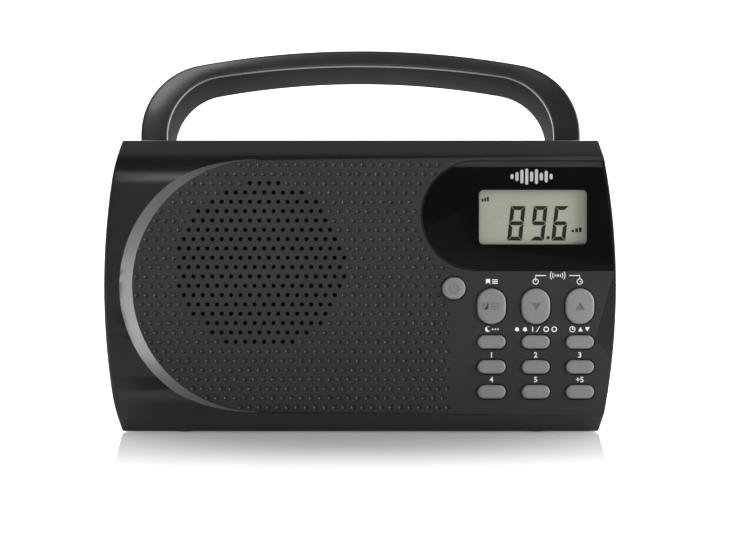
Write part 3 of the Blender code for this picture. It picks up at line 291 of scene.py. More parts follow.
boardGreen = mouldedPlastic("boardGreen", (0.020, 0.120, 0.045), (0.032, 0.170, 0.065), 0.4, 0.02 * mm, 700.0)
padRubber = mouldedPlastic("padRubber", (0.40, 0.40, 0.41), (0.48, 0.48, 0.49), 0.7, 0.02 * mm, 1500.0)
holderWhite = mouldedPlastic("holderWhite", (0.66, 0.66, 0.64), (0.74, 0.74, 0.72), 0.5, 0.01 * mm, 1500.0)
cellSleeve = mouldedPlastic("cellSleeve", (0.06, 0.075, 0.11), (0.08, 0.10, 0.15), 0.3, 0.006 * mm, 800.0)
ferriteGrey = mouldedPlastic("ferriteGrey", (0.03, 0.03, 0.033), (0.045, 0.045, 0.05), 0.6, 0.03 * mm, 1200.0)
chromeTube = brushedMetal("chromeTube", (0.34, 0.34, 0.35), (0.42, 0.42, 0.43), 0.16, (6.0, 60.0, 60.0))
platedSteel = brushedMetal("platedSteel", (0.55, 0.55, 0.56), (0.68, 0.68, 0.69), 0.28, (30.0, 30.0, 4.0))
coilWire = brushedMetal("coilWire", (0.42, 0.17, 0.07), (0.60, 0.27, 0.12), 0.35, (4.0, 4.0, 160.0))
for material, level in ((windowGloss, 0.05), (shellPlastic, 0.30), (fieldPlastic, 0.30), (gripPlastic, 0.10),
                        (segmentInk, 0.05),
                        (voidPaint, 0.02), (bandHighlightPaint, 0.3)):
    material.node_tree.nodes["Principled BSDF"].inputs["Specular IOR Level"].default_value = level
print("materials ready")


# floor, backdrop, lights and camera

roomPlan = dict(floorHalf=40.0, wallY=4.0, wallHalf=8.0, cameraDistance=0.750, cameraX=0.0020, cameraZ=0.0676,
                lens=85.5, glowFrom=0.05, glowTo=0.28, glowLow=0.12, glowHigh=0.85, wallGlow=1.1, fill=0.12)


def buildRoom():
    size = roomPlan["floorHalf"]
    bm = bmesh.new()
    bm.faces.new([bm.verts.new(p) for p in ((-size, -size, 0), (size, -size, 0), (size, size, 0), (-size, size, 0))])
    floor = meshObject("floor", bm)
    material, nodes, links, shader = newMaterial("paleFloor")
    place = nodes.new("ShaderNodeTexCoord")
    away = nodes.new("ShaderNodeVectorMath")
    away.operation = "LENGTH"
    glow = nodes.new("ShaderNodeMapRange")
    glow.interpolation_type = "SMOOTHSTEP"
    glow.inputs["From Min"].default_value = roomPlan["glowFrom"]
    glow.inputs["From Max"].default_value = roomPlan["glowTo"]
    glow.inputs["To Min"].default_value = roomPlan["glowLow"]
    glow.inputs["To Max"].default_value = roomPlan["glowHigh"]
    noise = nodes.new("ShaderNodeTexNoise")
    noise.inputs["Scale"].default_value = 12.0
    rough = nodes.new("ShaderNodeMapRange")
    rough.inputs["To Min"].default_value = 0.04
    rough.inputs["To Max"].default_value = 0.08
    links.new(place.outputs["Object"], away.inputs[0])
    links.new(away.outputs["Value"], glow.inputs["Value"])
    links.new(glow.outputs["Result"], shader.inputs["Emission Strength"])
    links.new(noise.outputs["Fac"], rough.inputs["Value"])
    links.new(rough.outputs["Result"], shader.inputs["Roughness"])
    shader.inputs["Base Color"].default_value = (0.80, 0.80, 0.80, 1)
    shader.inputs["Emission Color"].default_value = (1, 1, 1, 1)
    floor.data.materials.append(material)
    bm = bmesh.new()
    wallY = roomPlan["wallY"]
    half = roomPlan["wallHalf"]
    bm.faces.new([bm.verts.new(p) for p in ((-half, wallY, -0.2), (half, wallY, -0.2), (half, wallY, half),
                                            (-half, wallY, half))])
    wall = meshObject("backdrop", bm)
    material, nodes, links, shader = newMaterial("paleBackdrop")
    noise = nodes.new("ShaderNodeTexNoise")
    noise.inputs["Scale"].default_value = 3.0
    rough = nodes.new("ShaderNodeMapRange")
    rough.inputs["To Min"].default_value = 0.85
    rough.inputs["To Max"].default_value = 0.95
    links.new(noise.outputs["Fac"], rough.inputs["Value"])
    links.new(rough.outputs["Result"], shader.inputs["Roughness"])
    shader.inputs["Base Color"].default_value = (0.9, 0.9, 0.9, 1)
    shader.inputs["Emission Color"].default_value = (1, 1, 1, 1)
    shader.inputs["Emission Strength"].default_value = roomPlan["wallGlow"]
    wall.data.materials.append(material)


def areaLight(name, place, aim, size, power, sizeY):
    light = bpy.data.lights.new(name, "AREA")
    light.shape = "RECTANGLE"
    light.size = size
    light.size_y = sizeY
    light.energy = power
    lamp = bpy.data.objects.new(name, light)
    lamp.location = place
    lamp.rotation_euler = (Vector(aim) - Vector(place)).to_track_quat("-Z", "Y").to_euler()
    bpy.context.scene.collection.objects.link(lamp)


# name, place, width, height, power
lightPlan = (("rightSoftbox", (1.15, -0.42, 0.36), 0.55, 1.20, 27),
             ("leftStrip", (-1.00, -0.50, 0.40), 0.14, 0.80, 0.9),
             ("upperStrip", (-0.25, -1.10, 0.66), 0.90, 0.12, 1.2),
             ("lowLeft", (-0.30, -1.15, 0.40), 0.15, 0.12, 0.6),
             ("overhead", (0.0, 0.05, 1.30), 1.60, 0.50, 1.7),
             ("topBack", (0, 0.80, 0.95), 1.80, 0.50, 12.0),
             ("shoulderStrip", (-0.20, -1.05, 0.52), 0.16, 0.16, 0.7),
             ("behindLeft", (-0.95, 0.55, 0.35), 0.25, 0.60, 2.0),
             ("behindRight", (0.95, 0.60, 0.35), 0.25, 0.60, 2.0))


def buildLights():
    for name, place, width, height, power in lightPlan:
        areaLight(name, place, (0, 0, 0.08), width, power, height)
    world = bpy.data.worlds.new("studio")
    bpy.context.scene.world = world
    world.use_nodes = True
    back = world.node_tree.nodes["Background"]
    back.inputs["Color"].default_value = (1, 1, 1, 1)
    back.inputs["Strength"].default_value = roomPlan["fill"]
    bpy.context.scene.view_settings.view_transform = "Standard"


def buildCamera():
    camera = bpy.data.cameras.new("camera")
    camera.lens = roomPlan["lens"]
    camera.sensor_width = 36
    camera.clip_start = 0.01
    eye = bpy.data.objects.new("camera", camera)
    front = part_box("front_cabinet")[0][1]
    eye.location = (roomPlan["cameraX"], front - roomPlan["cameraDistance"], roomPlan["cameraZ"])
    eye.rotation_euler = (math.pi / 2, 0, 0)
    bpy.context.scene.collection.objects.link(eye)
    bpy.context.scene.camera = eye


buildRoom()
buildLights()
buildCamera()
print("room ready")


# front cabinet with its sunken field

cabLow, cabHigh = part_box("front_cabinet")
cabMiddle = (cabLow[2] + cabHigh[2]) / 2
cabHalfHeight = (cabHigh[2] - cabLow[2]) / 2
cabHalfWidth = cabHigh[0]
frontY = cabLow[1]
splitY = cabHigh[1]
frontCabinet = dict(sideBulge=6.9 * mm, slopeHeight=11.7 * mm, slopeDepth=10.6 * mm,  # outline and sloping strips
                    fillet=20 * mm, edge=1.0 * mm, sideEdge=0.9 * mm, midEdge=1.6 * mm,  # roundings
                    recess=4 * mm, wall=2.4 * mm, grilleWall=1.4 * mm,
                    rimX=-48.4 * mm, rimRadius=55.9 * mm, rimRise=57.2 * mm, rimSteps=64,  # rim of the field
                    fieldX=-44.6 * mm, fieldRadius=54.7 * mm, fieldRise=56.8 * mm,  # the same on the floor
                    floorEdge=0.4 * mm, floorMidEdge=0.3 * mm)
floorY = frontY + frontCabinet["recess"]
innerY = floorY + frontCabinet["wall"]


def sideHalf(z, inset=0.0):
    share = (z - cabMiddle) / cabHalfHeight
    return cabHalfWidth - frontCabinet["sideBulge"] * share * share - inset


# solid whose cross-section is the given (y, z) chain, with rolled side edges
def rolledBody(name, chain, backY, edge, midEdge, steps=6):
    normals = []
    for i in range(len(chain)):
        along = (chain[min(i + 1, len(chain) - 1)] - chain[max(i - 1, 0)]).normalized()
        normals.append(Vector((-along[1], along[0])))
    if normals[len(chain) // 2][0] * (backY - chain[len(chain) // 2][0]) > 0:
        normals = [-n for n in normals]
    columns = []
    for side in (-1, 1):
        turns = [math.pi / 2 * i / steps for i in range(steps + 1)]
        for turn in (reversed(turns) if side < 0 else turns):
            column = []
            for point, normal in zip(chain, normals):
                share = (point[1] - cabMiddle) / cabHalfHeight
                rolled = edge + midEdge * normal[0] ** 2 * (1 - share * share)
                spot = point - normal * rolled * (1 - math.cos(turn))
                spot[0] = backY if point is chain[0] or point is chain[-1] else spot[0]
                reach = sideHalf(spot[1]) - rolled + rolled * math.sin(turn)
                column.append((side * reach, spot[0], spot[1]))
            columns.append(column)
    bm = bmesh.new()
    rows = [[bm.verts.new(p) for p in column] for column in columns]
    for first, second in zip(rows, rows[1:]):
        for i in range(len(chain) - 1):
            bm.faces.new((first[i], first[i + 1], second[i + 1], second[i]))
    rims = []
    for row in (rows[0], rows[-1]):
        back = [row[0]] + [bm.verts.new((v.co.x, backY, v.co.z)) for v in row[1:-1]] + [row[-1]]
        for i in range(len(chain) - 1):
            corners = (row[i], row[i + 1], back[i + 1], back[i])
            bm.faces.new(list(dict.fromkeys(corners)))
        rims.append(back)
    loop = rims[0] + [row[-1] for row in rows[1:-1]] + rims[1][::-1] + [row[0] for row in rows[-2:0:-1]]
    bm.faces.new(loop)
    return meshObject(name, bm)


def frontChain():
    low, high = cabLow[2], cabHigh[2]
    depth = frontCabinet["slopeDepth"]
    height = frontCabinet["slopeHeight"]
    corners = [(splitY, low), (frontY + depth, low), (frontY, low + height), (frontY, high - height),
               (frontY + depth, high), (splitY, high)]
    edge = frontCabinet["edge"]
    fillet = frontCabinet["fillet"]
    return filledPath(roundedPath(corners, (edge, fillet, fillet, edge), 8), 5 * mm)


def bodyOutline(inset, steps=24):
    low, high = cabLow[2] + inset, cabHigh[2] - inset
    heights = [low + (high - low) * i / steps for i in range(steps + 1)]
    right = [(sideHalf(z, inset), z) for z in heights]
    return right + [(-x, z) for x, z in reversed(right)]


def hollowSolid(name):
    wall = frontCabinet["wall"]
    outline = bodyOutline(wall)
    chamfer = frontCabinet["slopeDepth"]
    rings = [[(x, splitY + 0.01, z) for x, z in outline]]
    rings.append([(x, frontY + chamfer + wall, z) for x, z in outline])
    drop = frontCabinet["slopeHeight"] * (1 - (innerY - frontY - wall / 3) / chamfer)
    squeezed = []
    for x, z in outline:
        side = 1 if z > cabMiddle else -1
        squeezed.append((x, innerY, cabMiddle + side * min(abs(z - cabMiddle), cabHalfHeight - wall - drop)))
    rings.append(squeezed)
    return skin(name, rings)


# the lattice of speaker holes and blind dimples
grille = dict(pitchX=4.10 * mm, pitchZ=4.058 * mm, firstZ=116.98 * mm, rows=27, columnX=-41.9 * mm, openX=-43 * mm,
              openZ=73 * mm, openRadius=37 * mm, hole=0.95 * mm, holeSides=12, dimple=1.08 * mm, dimpleSides=10,
              rightLimit=39.5 * mm, rimClearance=1.25 * mm, windowClearance=1.9 * mm, keyClearance=1.9 * mm,
              dimpleRings=((0.86, 0.20), (0.55, 0.40)))
windowLow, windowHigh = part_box("display_window")
windowPlan = dict(clearance=0.35 * mm, depth=1.9 * mm, margin=1.2 * mm, lcdLeft=51.6 * mm, lcdRight=98.6 * mm,
                  lcdBottom=82.2 * mm, lcdTop=105.9 * mm, corner=1.9 * mm)
keyNames = [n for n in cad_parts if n.startswith("key_") and n != "key_board"]
keyPlan = dict(flange=0.7 * mm, clearance=0.45 * mm,
               fit=dict(power=(0.2 * mm, 0.3 * mm, 0.3 * mm), pill=(0.5 * mm, 0.4 * mm, 0.3 * mm),
                        oval=(0.4 * mm, 0.4 * mm, 0.8 * mm)))


def windowOutline(outset=0.0, steps=40):
    radius = (windowHigh[2] - windowLow[2]) / 2
    middle = (windowHigh[2] + windowLow[2]) / 2
    left = arcPoints((windowLow[0] + radius, middle), radius + outset, 90, 270, steps)
    low, high = windowLow[2] - outset, windowHigh[2] + outset
    margin = windowPlan["margin"] - outset
    heights = [low + (high - low) * i / 14 for i in range(15)]
    return left + [(sideHalf(z, margin), z) for z in heights]


def keySizes(name):
    low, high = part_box(name)
    flange = 2 * keyPlan["flange"]
    drop, wider, taller = keyPlan["fit"]["power" if name == "key_power" else
                                         "pill" if high[0] - low[0] > high[2] - low[2] else "oval"]
    return ((low[0] + high[0]) / 2, (low[2] + high[2]) / 2 - drop, high[0] - low[0] - flange + wider,
            high[2] - low[2] - flange + taller)


def insideLoop(x, z, loop):
    inside = False
    for (ax, az), (bx, bz) in zip(loop, loop[1:] + loop[:1]):
        if (az > z) != (bz > z) and x < (bx - ax) * (z - az) / (bz - az) + ax:
            inside = not inside
    return inside


def latticeSpots():
    holes, dimples = [], []
    windowLoop = windowOutline(grille["windowClearance"])
    powerX, powerZ, powerWide, _ = keySizes("key_power")
    for row in range(grille["rows"]):
        z = grille["firstZ"] - grille["pitchZ"] * row
        shift = 0 if row % 2 else grille["pitchX"] / 2
        for column in range(-14, 24):
            x = grille["columnX"] + shift + grille["pitchX"] * column
            if math.hypot(x - grille["openX"], z - grille["openZ"]) < grille["openRadius"]:
                holes.append((x, z))
                continue
            fromRim = math.hypot(x - frontCabinet["fieldX"], z - cabMiddle)
            if x < frontCabinet["fieldX"] and fromRim > frontCabinet["fieldRadius"] - grille["rimClearance"]:
                continue
            limit = grille["rightLimit"]
            if x > limit or insideLoop(x, z, windowLoop):
                continue
            if math.hypot(x - powerX, z - powerZ) < powerWide / 2 + grille["keyClearance"]:
                continue
            dimples.append((x, z))
    return holes, dimples


def rimLoop(depth):
    share = depth / frontCabinet["recess"]
    x = frontCabinet["rimX"] + (frontCabinet["fieldX"] - frontCabinet["rimX"]) * share
    radius = frontCabinet["rimRadius"] + (frontCabinet["fieldRadius"] - frontCabinet["rimRadius"]) * share
    rise = frontCabinet["rimRise"] + (frontCabinet["fieldRise"] - frontCabinet["rimRise"]) * share
    turns = [math.pi / 2 + math.pi * i / frontCabinet["rimSteps"] for i in range(frontCabinet["rimSteps"] + 1)]
    loop = [(x + radius * math.cos(t), cabMiddle + radius * math.sin(t)) for t in turns]
    far = cabHalfWidth + 20 * mm
    return loop + [(far, cabMiddle - rise), (far, cabMiddle + rise)]


# cutter for the sunken field: a floor with pegs for holes, dimples, keys and the window
def fieldCutter():
    edge = rimLoop(frontCabinet["recess"])
    holes, dimples = latticeSpots()
    loops = [(edge, "rim")]
    for x, z in holes:
        size = 2 * grille["hole"]
        loops.append((shifted(stadium(size, size, 0, grille["holeSides"] // 2), x, z), "hole"))
    for x, z in dimples:
        size = 2 * grille["dimple"]
        loops.append((shifted(stadium(size, size, 0, grille["dimpleSides"] // 2), x, z), "dimple"))
    for name in keyNames:
        x, z, width, height = keySizes(name)
        loops.append((shifted(stadium(width, height, keyPlan["clearance"] + 0.25 * mm), x, z), "key"))
    loops.append((windowOutline(windowPlan["clearance"]), "window"))
    points, edges = [], []
    for loop, _ in loops:
        start = len(points)
        points += [Vector(p) * 1000 for p in loop]
        edges += [(start + i, start + (i + 1) % len(loop)) for i in range(len(loop))]
    found, _, faces, origin, _, _ = delaunay_2d_cdt(points, edges, [], 0, 1e-6)
    bm = bmesh.new()
    verts = [bm.verts.new((p[0] / 1000, floorY, p[1] / 1000)) for p in found]
    owner = {}
    for index, sources in enumerate(origin):
        for source in sources:
            owner[source] = index
    rings = []
    start = 0
    for loop, kind in loops:
        rings.append(([owner[start + i] for i in range(len(loop))], kind, loop))
        start += len(loop)
    loopOf = {}
    for number, (ring, kind, loop) in enumerate(rings):
        for index in ring:
            loopOf[index] = number
    for face in faces:
        numbers = {loopOf[i] for i in face}
        if len(numbers) == 1:
            number = numbers.pop()
            kind = rings[number][1]
            if kind in ("hole", "dimple"):
                continue
            if kind in ("key", "window"):
                x = sum(found[i][0] for i in face) / 3000
                z = sum(found[i][1] for i in face) / 3000
                if insideLoop(x, z, rings[number][2]):
                    continue
        bm.faces.new([verts[i] for i in face])
    for ring, kind, loop in rings:
        addPeg(bm, [verts[i] for i in ring], kind, loop)
    return meshObject("fieldCutter", bm)


def addPeg(bm, ring, kind, loop):
    centreX = sum(p[0] for p in loop) / len(loop)
    centreZ = sum(p[1] for p in loop) / len(loop)
    shapes = []
    if kind == "rim":
        for depth in (0.9, 0.7, 0.4, 0, -0.25):
            shapes.append([(x, frontY + depth * frontCabinet["recess"], z) for x, z in
                           rimLoop(depth * frontCabinet["recess"])])
    elif kind == "hole":
        shapes.append([(x, innerY + 1 * mm, z) for x, z in loop])
    elif kind == "dimple":
        for share, depth in grille["dimpleRings"]:
            shapes.append([(centreX + (x - centreX) * share, floorY + depth * mm, centreZ + (z - centreZ) * share)
                           for x, z in loop])
    elif kind == "key":
        for outset, depth in ((-0.20, 0.15), (-0.25, 0.35), (-0.25, 3.4)):
            steps = len(loop)
            shapes.append([])
            for i in range(steps):
                before, after = Vector(loop[i - 1]), Vector(loop[(i + 1) % steps])
                along = (after - before).normalized()
                out = Vector((along[1], -along[0]))
                x, z = loop[i][0] + out[0] * outset * mm, loop[i][1] + out[1] * outset * mm
                shapes[-1].append((x, floorY + depth * mm, z))
    elif kind == "window":
        shapes.append([(x, floorY + windowPlan["depth"], z) for x, z in loop])
    last = ring
    for shape in shapes:
        row = [bm.verts.new(p) for p in shape]
        for i in range(len(row)):
            j = (i + 1) % len(row)
            bm.faces.new((last[i], last[j], row[j], row[i]))
        last = row
    bm.faces.new(last)


# takes the sharp corner off the right edge of the field floor, most at mid height
def floorEdgeCutter():
    rise = frontCabinet["fieldRise"] - 0.4 * mm
    out = 3 * mm
    rings = []
    for i in range(25):
        z = cabMiddle - rise + 2 * rise * i / 24
        share = (z - cabMiddle) / cabHalfHeight
        radius = frontCabinet["floorEdge"] + frontCabinet["floorMidEdge"] * (1 - share * share)
        side = sideHalf(z)
        ring = [(side + out, floorY - out, z), (side - radius, floorY - out, z)]
        for k in range(7):
            turn = math.pi / 2 * k / 6
            ring.append((side - radius + radius * math.sin(turn), floorY + radius * (1 - math.cos(turn)), z))
        ring.append((side + out, floorY + radius, z))
        rings.append(ring)
    return skin("floorEdge", rings)


def paintField(shell):
    shell.data.materials.append(fieldPlastic)
    shell.data.materials.append(rimHighlightPaint)
    field = rimLoop(frontCabinet["recess"])
    for face in shell.data.polygons:
        x, y, z = face.center
        if floorY - 0.02 * mm < y < innerY - 0.1 * mm and x < sideHalf(z) - 2.2 * mm and insideLoop(x, z, field):
            face.material_index = 1
        # faces on the rim bevel get the lighter rim paint: a painted highlight
        share = (y - frontY) / frontCabinet["recess"]
        centre = frontCabinet["rimX"] + (frontCabinet["fieldX"] - frontCabinet["rimX"]) * share
        radius = frontCabinet["rimRadius"] + (frontCabinet["fieldRadius"] - frontCabinet["rimRadius"]) * share
        if 0 < share < 1 and x < centre + 6 * mm and abs(math.hypot(x - centre, z - cabMiddle) - radius) < 0.12 * mm:
            face.material_index = 2


def buildFrontCabinet():
    shell = rolledBody("frontShell", frontChain(), splitY, frontCabinet["sideEdge"], frontCabinet["midEdge"])
    boolean(shell, hollowSolid("hollow"))
    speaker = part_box("speaker_frame")
    middleX = (speaker[0][0] + speaker[1][0]) / 2
    middleZ = (speaker[0][2] + speaker[1][2]) / 2
    thin = innerY - floorY - frontCabinet["grilleWall"]
    boolean(shell, turnedPiece("thinField", ((0, 0), (0, 38.2 * mm), (2 * thin, 38.2 * mm), (2 * thin, 0)),
                               (middleX, innerY - thin, middleZ), (0, 1, 0), 64))
    boolean(shell, fieldCutter())
    boolean(shell, floorEdgeCutter())
    opening = roundedBox(windowPlan["lcdLeft"] - 1 * mm, windowPlan["lcdRight"] + 1 * mm,
                         windowPlan["lcdBottom"] - 1 * mm, windowPlan["lcdTop"] + 1 * mm, windowPlan["corner"])
    boolean(shell, slab("opening", opening, floorY, innerY + 1 * mm))
    resmooth(shell, 32)
    dress(shell, "cabinet", shellPlastic, ["front_cabinet"])
    paintField(shell)


buildFrontCabinet()
print("front cabinet ready")


# display window and the digits in it

displayPlan = dict(bevelHeight=2.5 * mm, bevelDepth=0.6 * mm, round=0.25 * mm, highlightEdge=0.26 * mm,
                   digitBottom=83.95 * mm, digitTop=99.0 * mm, slant=0.11,
                   stroke=1.70 * mm, gap=0.13 * mm, ink=0.05 * mm,
                   digits=(("8", 64.0 * mm, 70.45 * mm), ("9", 74.0 * mm, 80.1 * mm), ("6", 83.3 * mm, 89.4 * mm)),
                   flags=(("upperFlag", 52.9 * mm, 56.4 * mm, 101.0 * mm, 103.1 * mm),
                          ("lowerFlag", 92.1 * mm, 97.0 * mm, 87.6 * mm, 89.7 * mm)),
                   point=(81.75 * mm, 85.2 * mm, 1.4 * mm))
segmentRows = {"8": "abcdefg", "9": "abcdfg", "6": "acdefg"}
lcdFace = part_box("lcd_panel")[0][1]


# outline a given way inside a closed loop whose points run anticlockwise
def inset(loop, amount):
    moved = []
    for before, here, after in zip(loop[-1:] + loop[:-1], loop, loop[1:] + loop[:1]):
        along = (Vector(after) - Vector(before)).normalized()
        moved.append((here[0] - along[1] * amount, here[1] + along[0] * amount))
    return moved


def quarterRound(loop, face, radius, steps=4, way=1):
    rings = []
    for i in range(steps + 1):
        turn = math.pi / 2 * i / steps
        shape = inset(loop, way * radius * (1 - math.sin(turn)))
        rings.append([(x, face + radius * (1 - math.cos(turn)), z) for x, z in shape])
    return rings


def anticlockwise(loop):
    area = sum(a[0] * b[1] - b[0] * a[1] for a, b in zip(loop, loop[1:] + loop[:1]))
    return loop if area > 0 else loop[::-1]


def buildWindow():
    outer = anticlockwise(windowOutline())
    view = anticlockwise(roundedBox(windowPlan["lcdLeft"], windowPlan["lcdRight"], windowPlan["lcdBottom"],
                                    windowPlan["lcdTop"], windowPlan["corner"]))
    rings = quarterRound(outer, windowLow[1], displayPlan["round"])
    rings.append([(x, windowHigh[1], z) for x, z in outer])
    pane = skin("displayWindow", rings)
    top, deep, tall = windowHigh[2], displayPlan["bevelDepth"], displayPlan["bevelHeight"]
    wedge = [(windowLow[1] - 1 * mm, top - tall), (windowLow[1], top - tall), (windowLow[1] + deep, top + 0.1 * mm),
             (windowLow[1] - 1 * mm, top + 0.1 * mm)]
    boolean(pane, skin("wedge", [[(x, y, z) for y, z in wedge] for x in (0, 0.12)]))
    cutter = skin("view", [[(x, windowLow[1] - 1 * mm, z) for x, z in inset(view, -0.5 * mm)],
                           [(x, windowLow[1], z) for x, z in inset(view, -0.3 * mm)],
                           [(x, windowLow[1] + 0.3 * mm, z) for x, z in view],
                           [(x, windowHigh[1] + 1 * mm, z) for x, z in view]])
    resmooth(boolean(pane, cutter), 30)
    dress(pane, "cabinet", windowGloss, ["display_window"])
    pane.data.materials.append(bandHighlightPaint)
    middle = (windowLow[2] + windowHigh[2]) / 2
    reach = (windowHigh[2] - windowLow[2]) / 2
    # the rounded arc edge and the top bevel band get the lighter band paint: painted highlight and reflection
    for face in pane.data.polygons:
        x, y, z = face.center
        fromArc = math.hypot(x - windowLow[0] - reach, z - middle)
        rounded = x < windowLow[0] + reach and fromArc > reach - displayPlan["highlightEdge"]
        band = z > top - tall and abs(face.normal[2]) > 0.1
        if (rounded and y < windowLow[1] + 0.20 * mm) or (band and y < windowLow[1] + deep + 0.1 * mm):
            face.material_index = 1


def segmentShapes(left, right):
    bottom, top = displayPlan["digitBottom"], displayPlan["digitTop"]
    middle = (bottom + top) / 2
    w = displayPlan["stroke"]
    g = displayPlan["gap"]
    shapes = {
        "a": [(left + g, top), (left + w + g, top - w), (right - w - g, top - w), (right - g, top)],
        "d": [(left + g, bottom), (right - g, bottom), (right - w - g, bottom + w), (left + w + g, bottom + w)],
        "g": [(left + g, middle), (left + w * 0.6, middle - w / 2), (right - w * 0.6, middle - w / 2),
              (right - g, middle), (right - w * 0.6, middle + w / 2), (left + w * 0.6, middle + w / 2)],
        "f": [(left, top - g), (left, middle + g), (left + w / 2, middle + w / 2 + g / 2), (left + w, middle + w),
              (left + w, top - w - g)],
        "b": [(right, top - g), (right - w, top - w - g), (right - w, middle + w),
              (right - w / 2, middle + w / 2 + g / 2), (right, middle + g)],
        "e": [(left, bottom + g), (left + w, bottom + w + g), (left + w, middle - w),
              (left + w / 2, middle - w / 2 - g / 2), (left, middle - g)],
        "c": [(right, bottom + g), (right, middle - g), (right - w / 2, middle - w / 2 - g / 2),
              (right - w, middle - w), (right - w, bottom + w + g)]}
    return shapes


def slanted(loop):
    return [(x + (z - displayPlan["digitBottom"]) * displayPlan["slant"], z) for x, z in loop]


def buildDigits():
    for number, (digit, left, right) in enumerate(displayPlan["digits"]):
        for key, shape in segmentShapes(left, right).items():
            if key in segmentRows[digit]:
                outline = anticlockwise(slanted(shape))
                bar = slab(f"digit{number}{key}", outline, lcdFace - displayPlan["ink"], lcdFace)
                dress(bar, "cabinet", segmentInk)
    x, z, size = displayPlan["point"]
    point = slab("decimalPoint", slanted(roundedBox(x - size / 2, x + size / 2, z - size / 2, z + size / 2,
                                                    size / 3, 3)), lcdFace - displayPlan["ink"], lcdFace)
    dress(point, "cabinet", segmentInk)
    for name, left, right, bottom, top in displayPlan["flags"]:
        bars = [roundedBox(left + i * (right - left) / 3, left + (i + 0.72) * (right - left) / 3, bottom,
                           bottom + (top - bottom) * tall, 0.15 * mm, 2) for i, tall in enumerate((0.5, 0.8, 1.0))]
        markGroup(name, bars, lcdFace - displayPlan["ink"], lcdFace, "cabinet", segmentInk)


buildWindow()
print("display window ready")


# printed marks

# closed outline of a line of a given width through points
def strokeOutline(points, width):
    left, right = [], []
    for i, here in enumerate(points):
        before = Vector(points[max(i - 1, 0)])
        after = Vector(points[min(i + 1, len(points) - 1)])
        along = (after - before).normalized()
        side = Vector((-along[1], along[0])) * width / 2
        if 0 < i < len(points) - 1:
            bend = (Vector(here) - before).angle(after - Vector(here))
            side /= max(0.5, math.cos(bend / 2))
        left.append((here[0] + side[0], here[1] + side[1]))
        right.append((here[0] - side[0], here[1] - side[1]))
    return anticlockwise(left + right[::-1])


def markGroup(name, shapes, front, back, body, material):
    bm = bmesh.new()
    for shape in shapes:
        rows = [[bm.verts.new((x, y, z)) for x, z in shape] for y in (front, back)]
        for i in range(len(shape)):
            j = (i + 1) % len(shape)
            bm.faces.new((rows[0][i], rows[0][j], rows[1][j], rows[1][i]))
        bm.faces.new(rows[0])
        bm.faces.new(rows[1])
    return dress(meshObject(name, bm), body, material)


def ringShapes(centre, radius, width, start=0, end=360, steps=20):
    return [strokeOutline(arcPoints(centre, radius, start, end, steps), width)]


printPlan = dict(thickness=0.04 * mm, line=0.30 * mm, boldLine=0.42 * mm, digitSize=3.266 * mm, swell=0.05 * mm,
                 upperRise=3.0 * mm, middleRise=5.5 * mm, digitRise=5.9 * mm, digitDrop=(0.85 * mm, 0.70 * mm),
                 iconRadius=1.15 * mm, bracketRise=2.6 * mm, bracketDrop=1.2 * mm, bracketGap=5.0 * mm,
                 waveRadii=(1.2 * mm, 2.2 * mm, 3.2 * mm), waveTurn=32, dot=0.3 * mm)
panelFront = floorY - printPlan["thickness"]


def clockShapes(x, z, radius, hands=((0, 0.75), (90, 0.55))):
    line = printPlan["line"]
    shapes = ringShapes((x, z), radius, line)
    for turn, reach in hands:
        way = math.radians(turn)
        tip = (x + radius * reach * math.sin(way), z + radius * reach * math.cos(way))
        shapes.append(strokeOutline([(x, z), tip], line))
    return shapes


def moonShapes(x, z, radius):
    outer = arcPoints((x, z), radius, 60, 330, 22)
    inner = arcPoints((x + radius * 0.52, z + radius * 0.28), radius * 0.80, 312, 78, 16)
    return [anticlockwise(outer + inner)]


def bellShapes(x, z, size):
    dome = arcPoints((x, z + size * 0.10), size * 0.62, 0, 180, 12)
    body = [(x + size * 0.9, z - size * 0.62)] + dome + [(x - size * 0.9, z - size * 0.62)]
    clapper = arcPoints((x, z - size * 0.86), size * 0.20, 0, 330, 8)
    return [anticlockwise(body), anticlockwise(clapper)]


def barShape(left, right, bottom, top):
    return [(left, bottom), (right, bottom), (right, top), (left, top)]


def triangle(x, z, wide, tall):
    return anticlockwise([(x - wide, z - tall), (x + wide, z - tall), (x, z + tall)])


def bars(places, x, z, half):
    return [barShape(x + near * mm, x + far * mm, z + rise * mm - half, z + rise * mm + half)
            for near, far, rise in places]


def bookmarkShapes(x, z):
    flag = [(-2.4, 1.1), (-2.4, -1.1), (-1.5, -0.3), (-0.6, -1.1), (-0.6, 1.1)]
    lines = bars([(0.3, 2.7, 0.75), (0.3, 2.7, 0), (0.3, 2.7, -0.75)], x, z, 0.2 * mm)
    return [anticlockwise([(x + px * mm, z + pz * mm) for px, pz in flag])] + lines


def waveShapes(x, z):
    waves = []
    turn = printPlan["waveTurn"]
    for facing in (180, 0):
        for radius in printPlan["waveRadii"]:
            waves += ringShapes((x, z), radius, printPlan["line"], facing - turn, facing + turn, 8)
    return waves + [anticlockwise(arcPoints((x, z), 0.5 * mm, 0, 330, 10))]


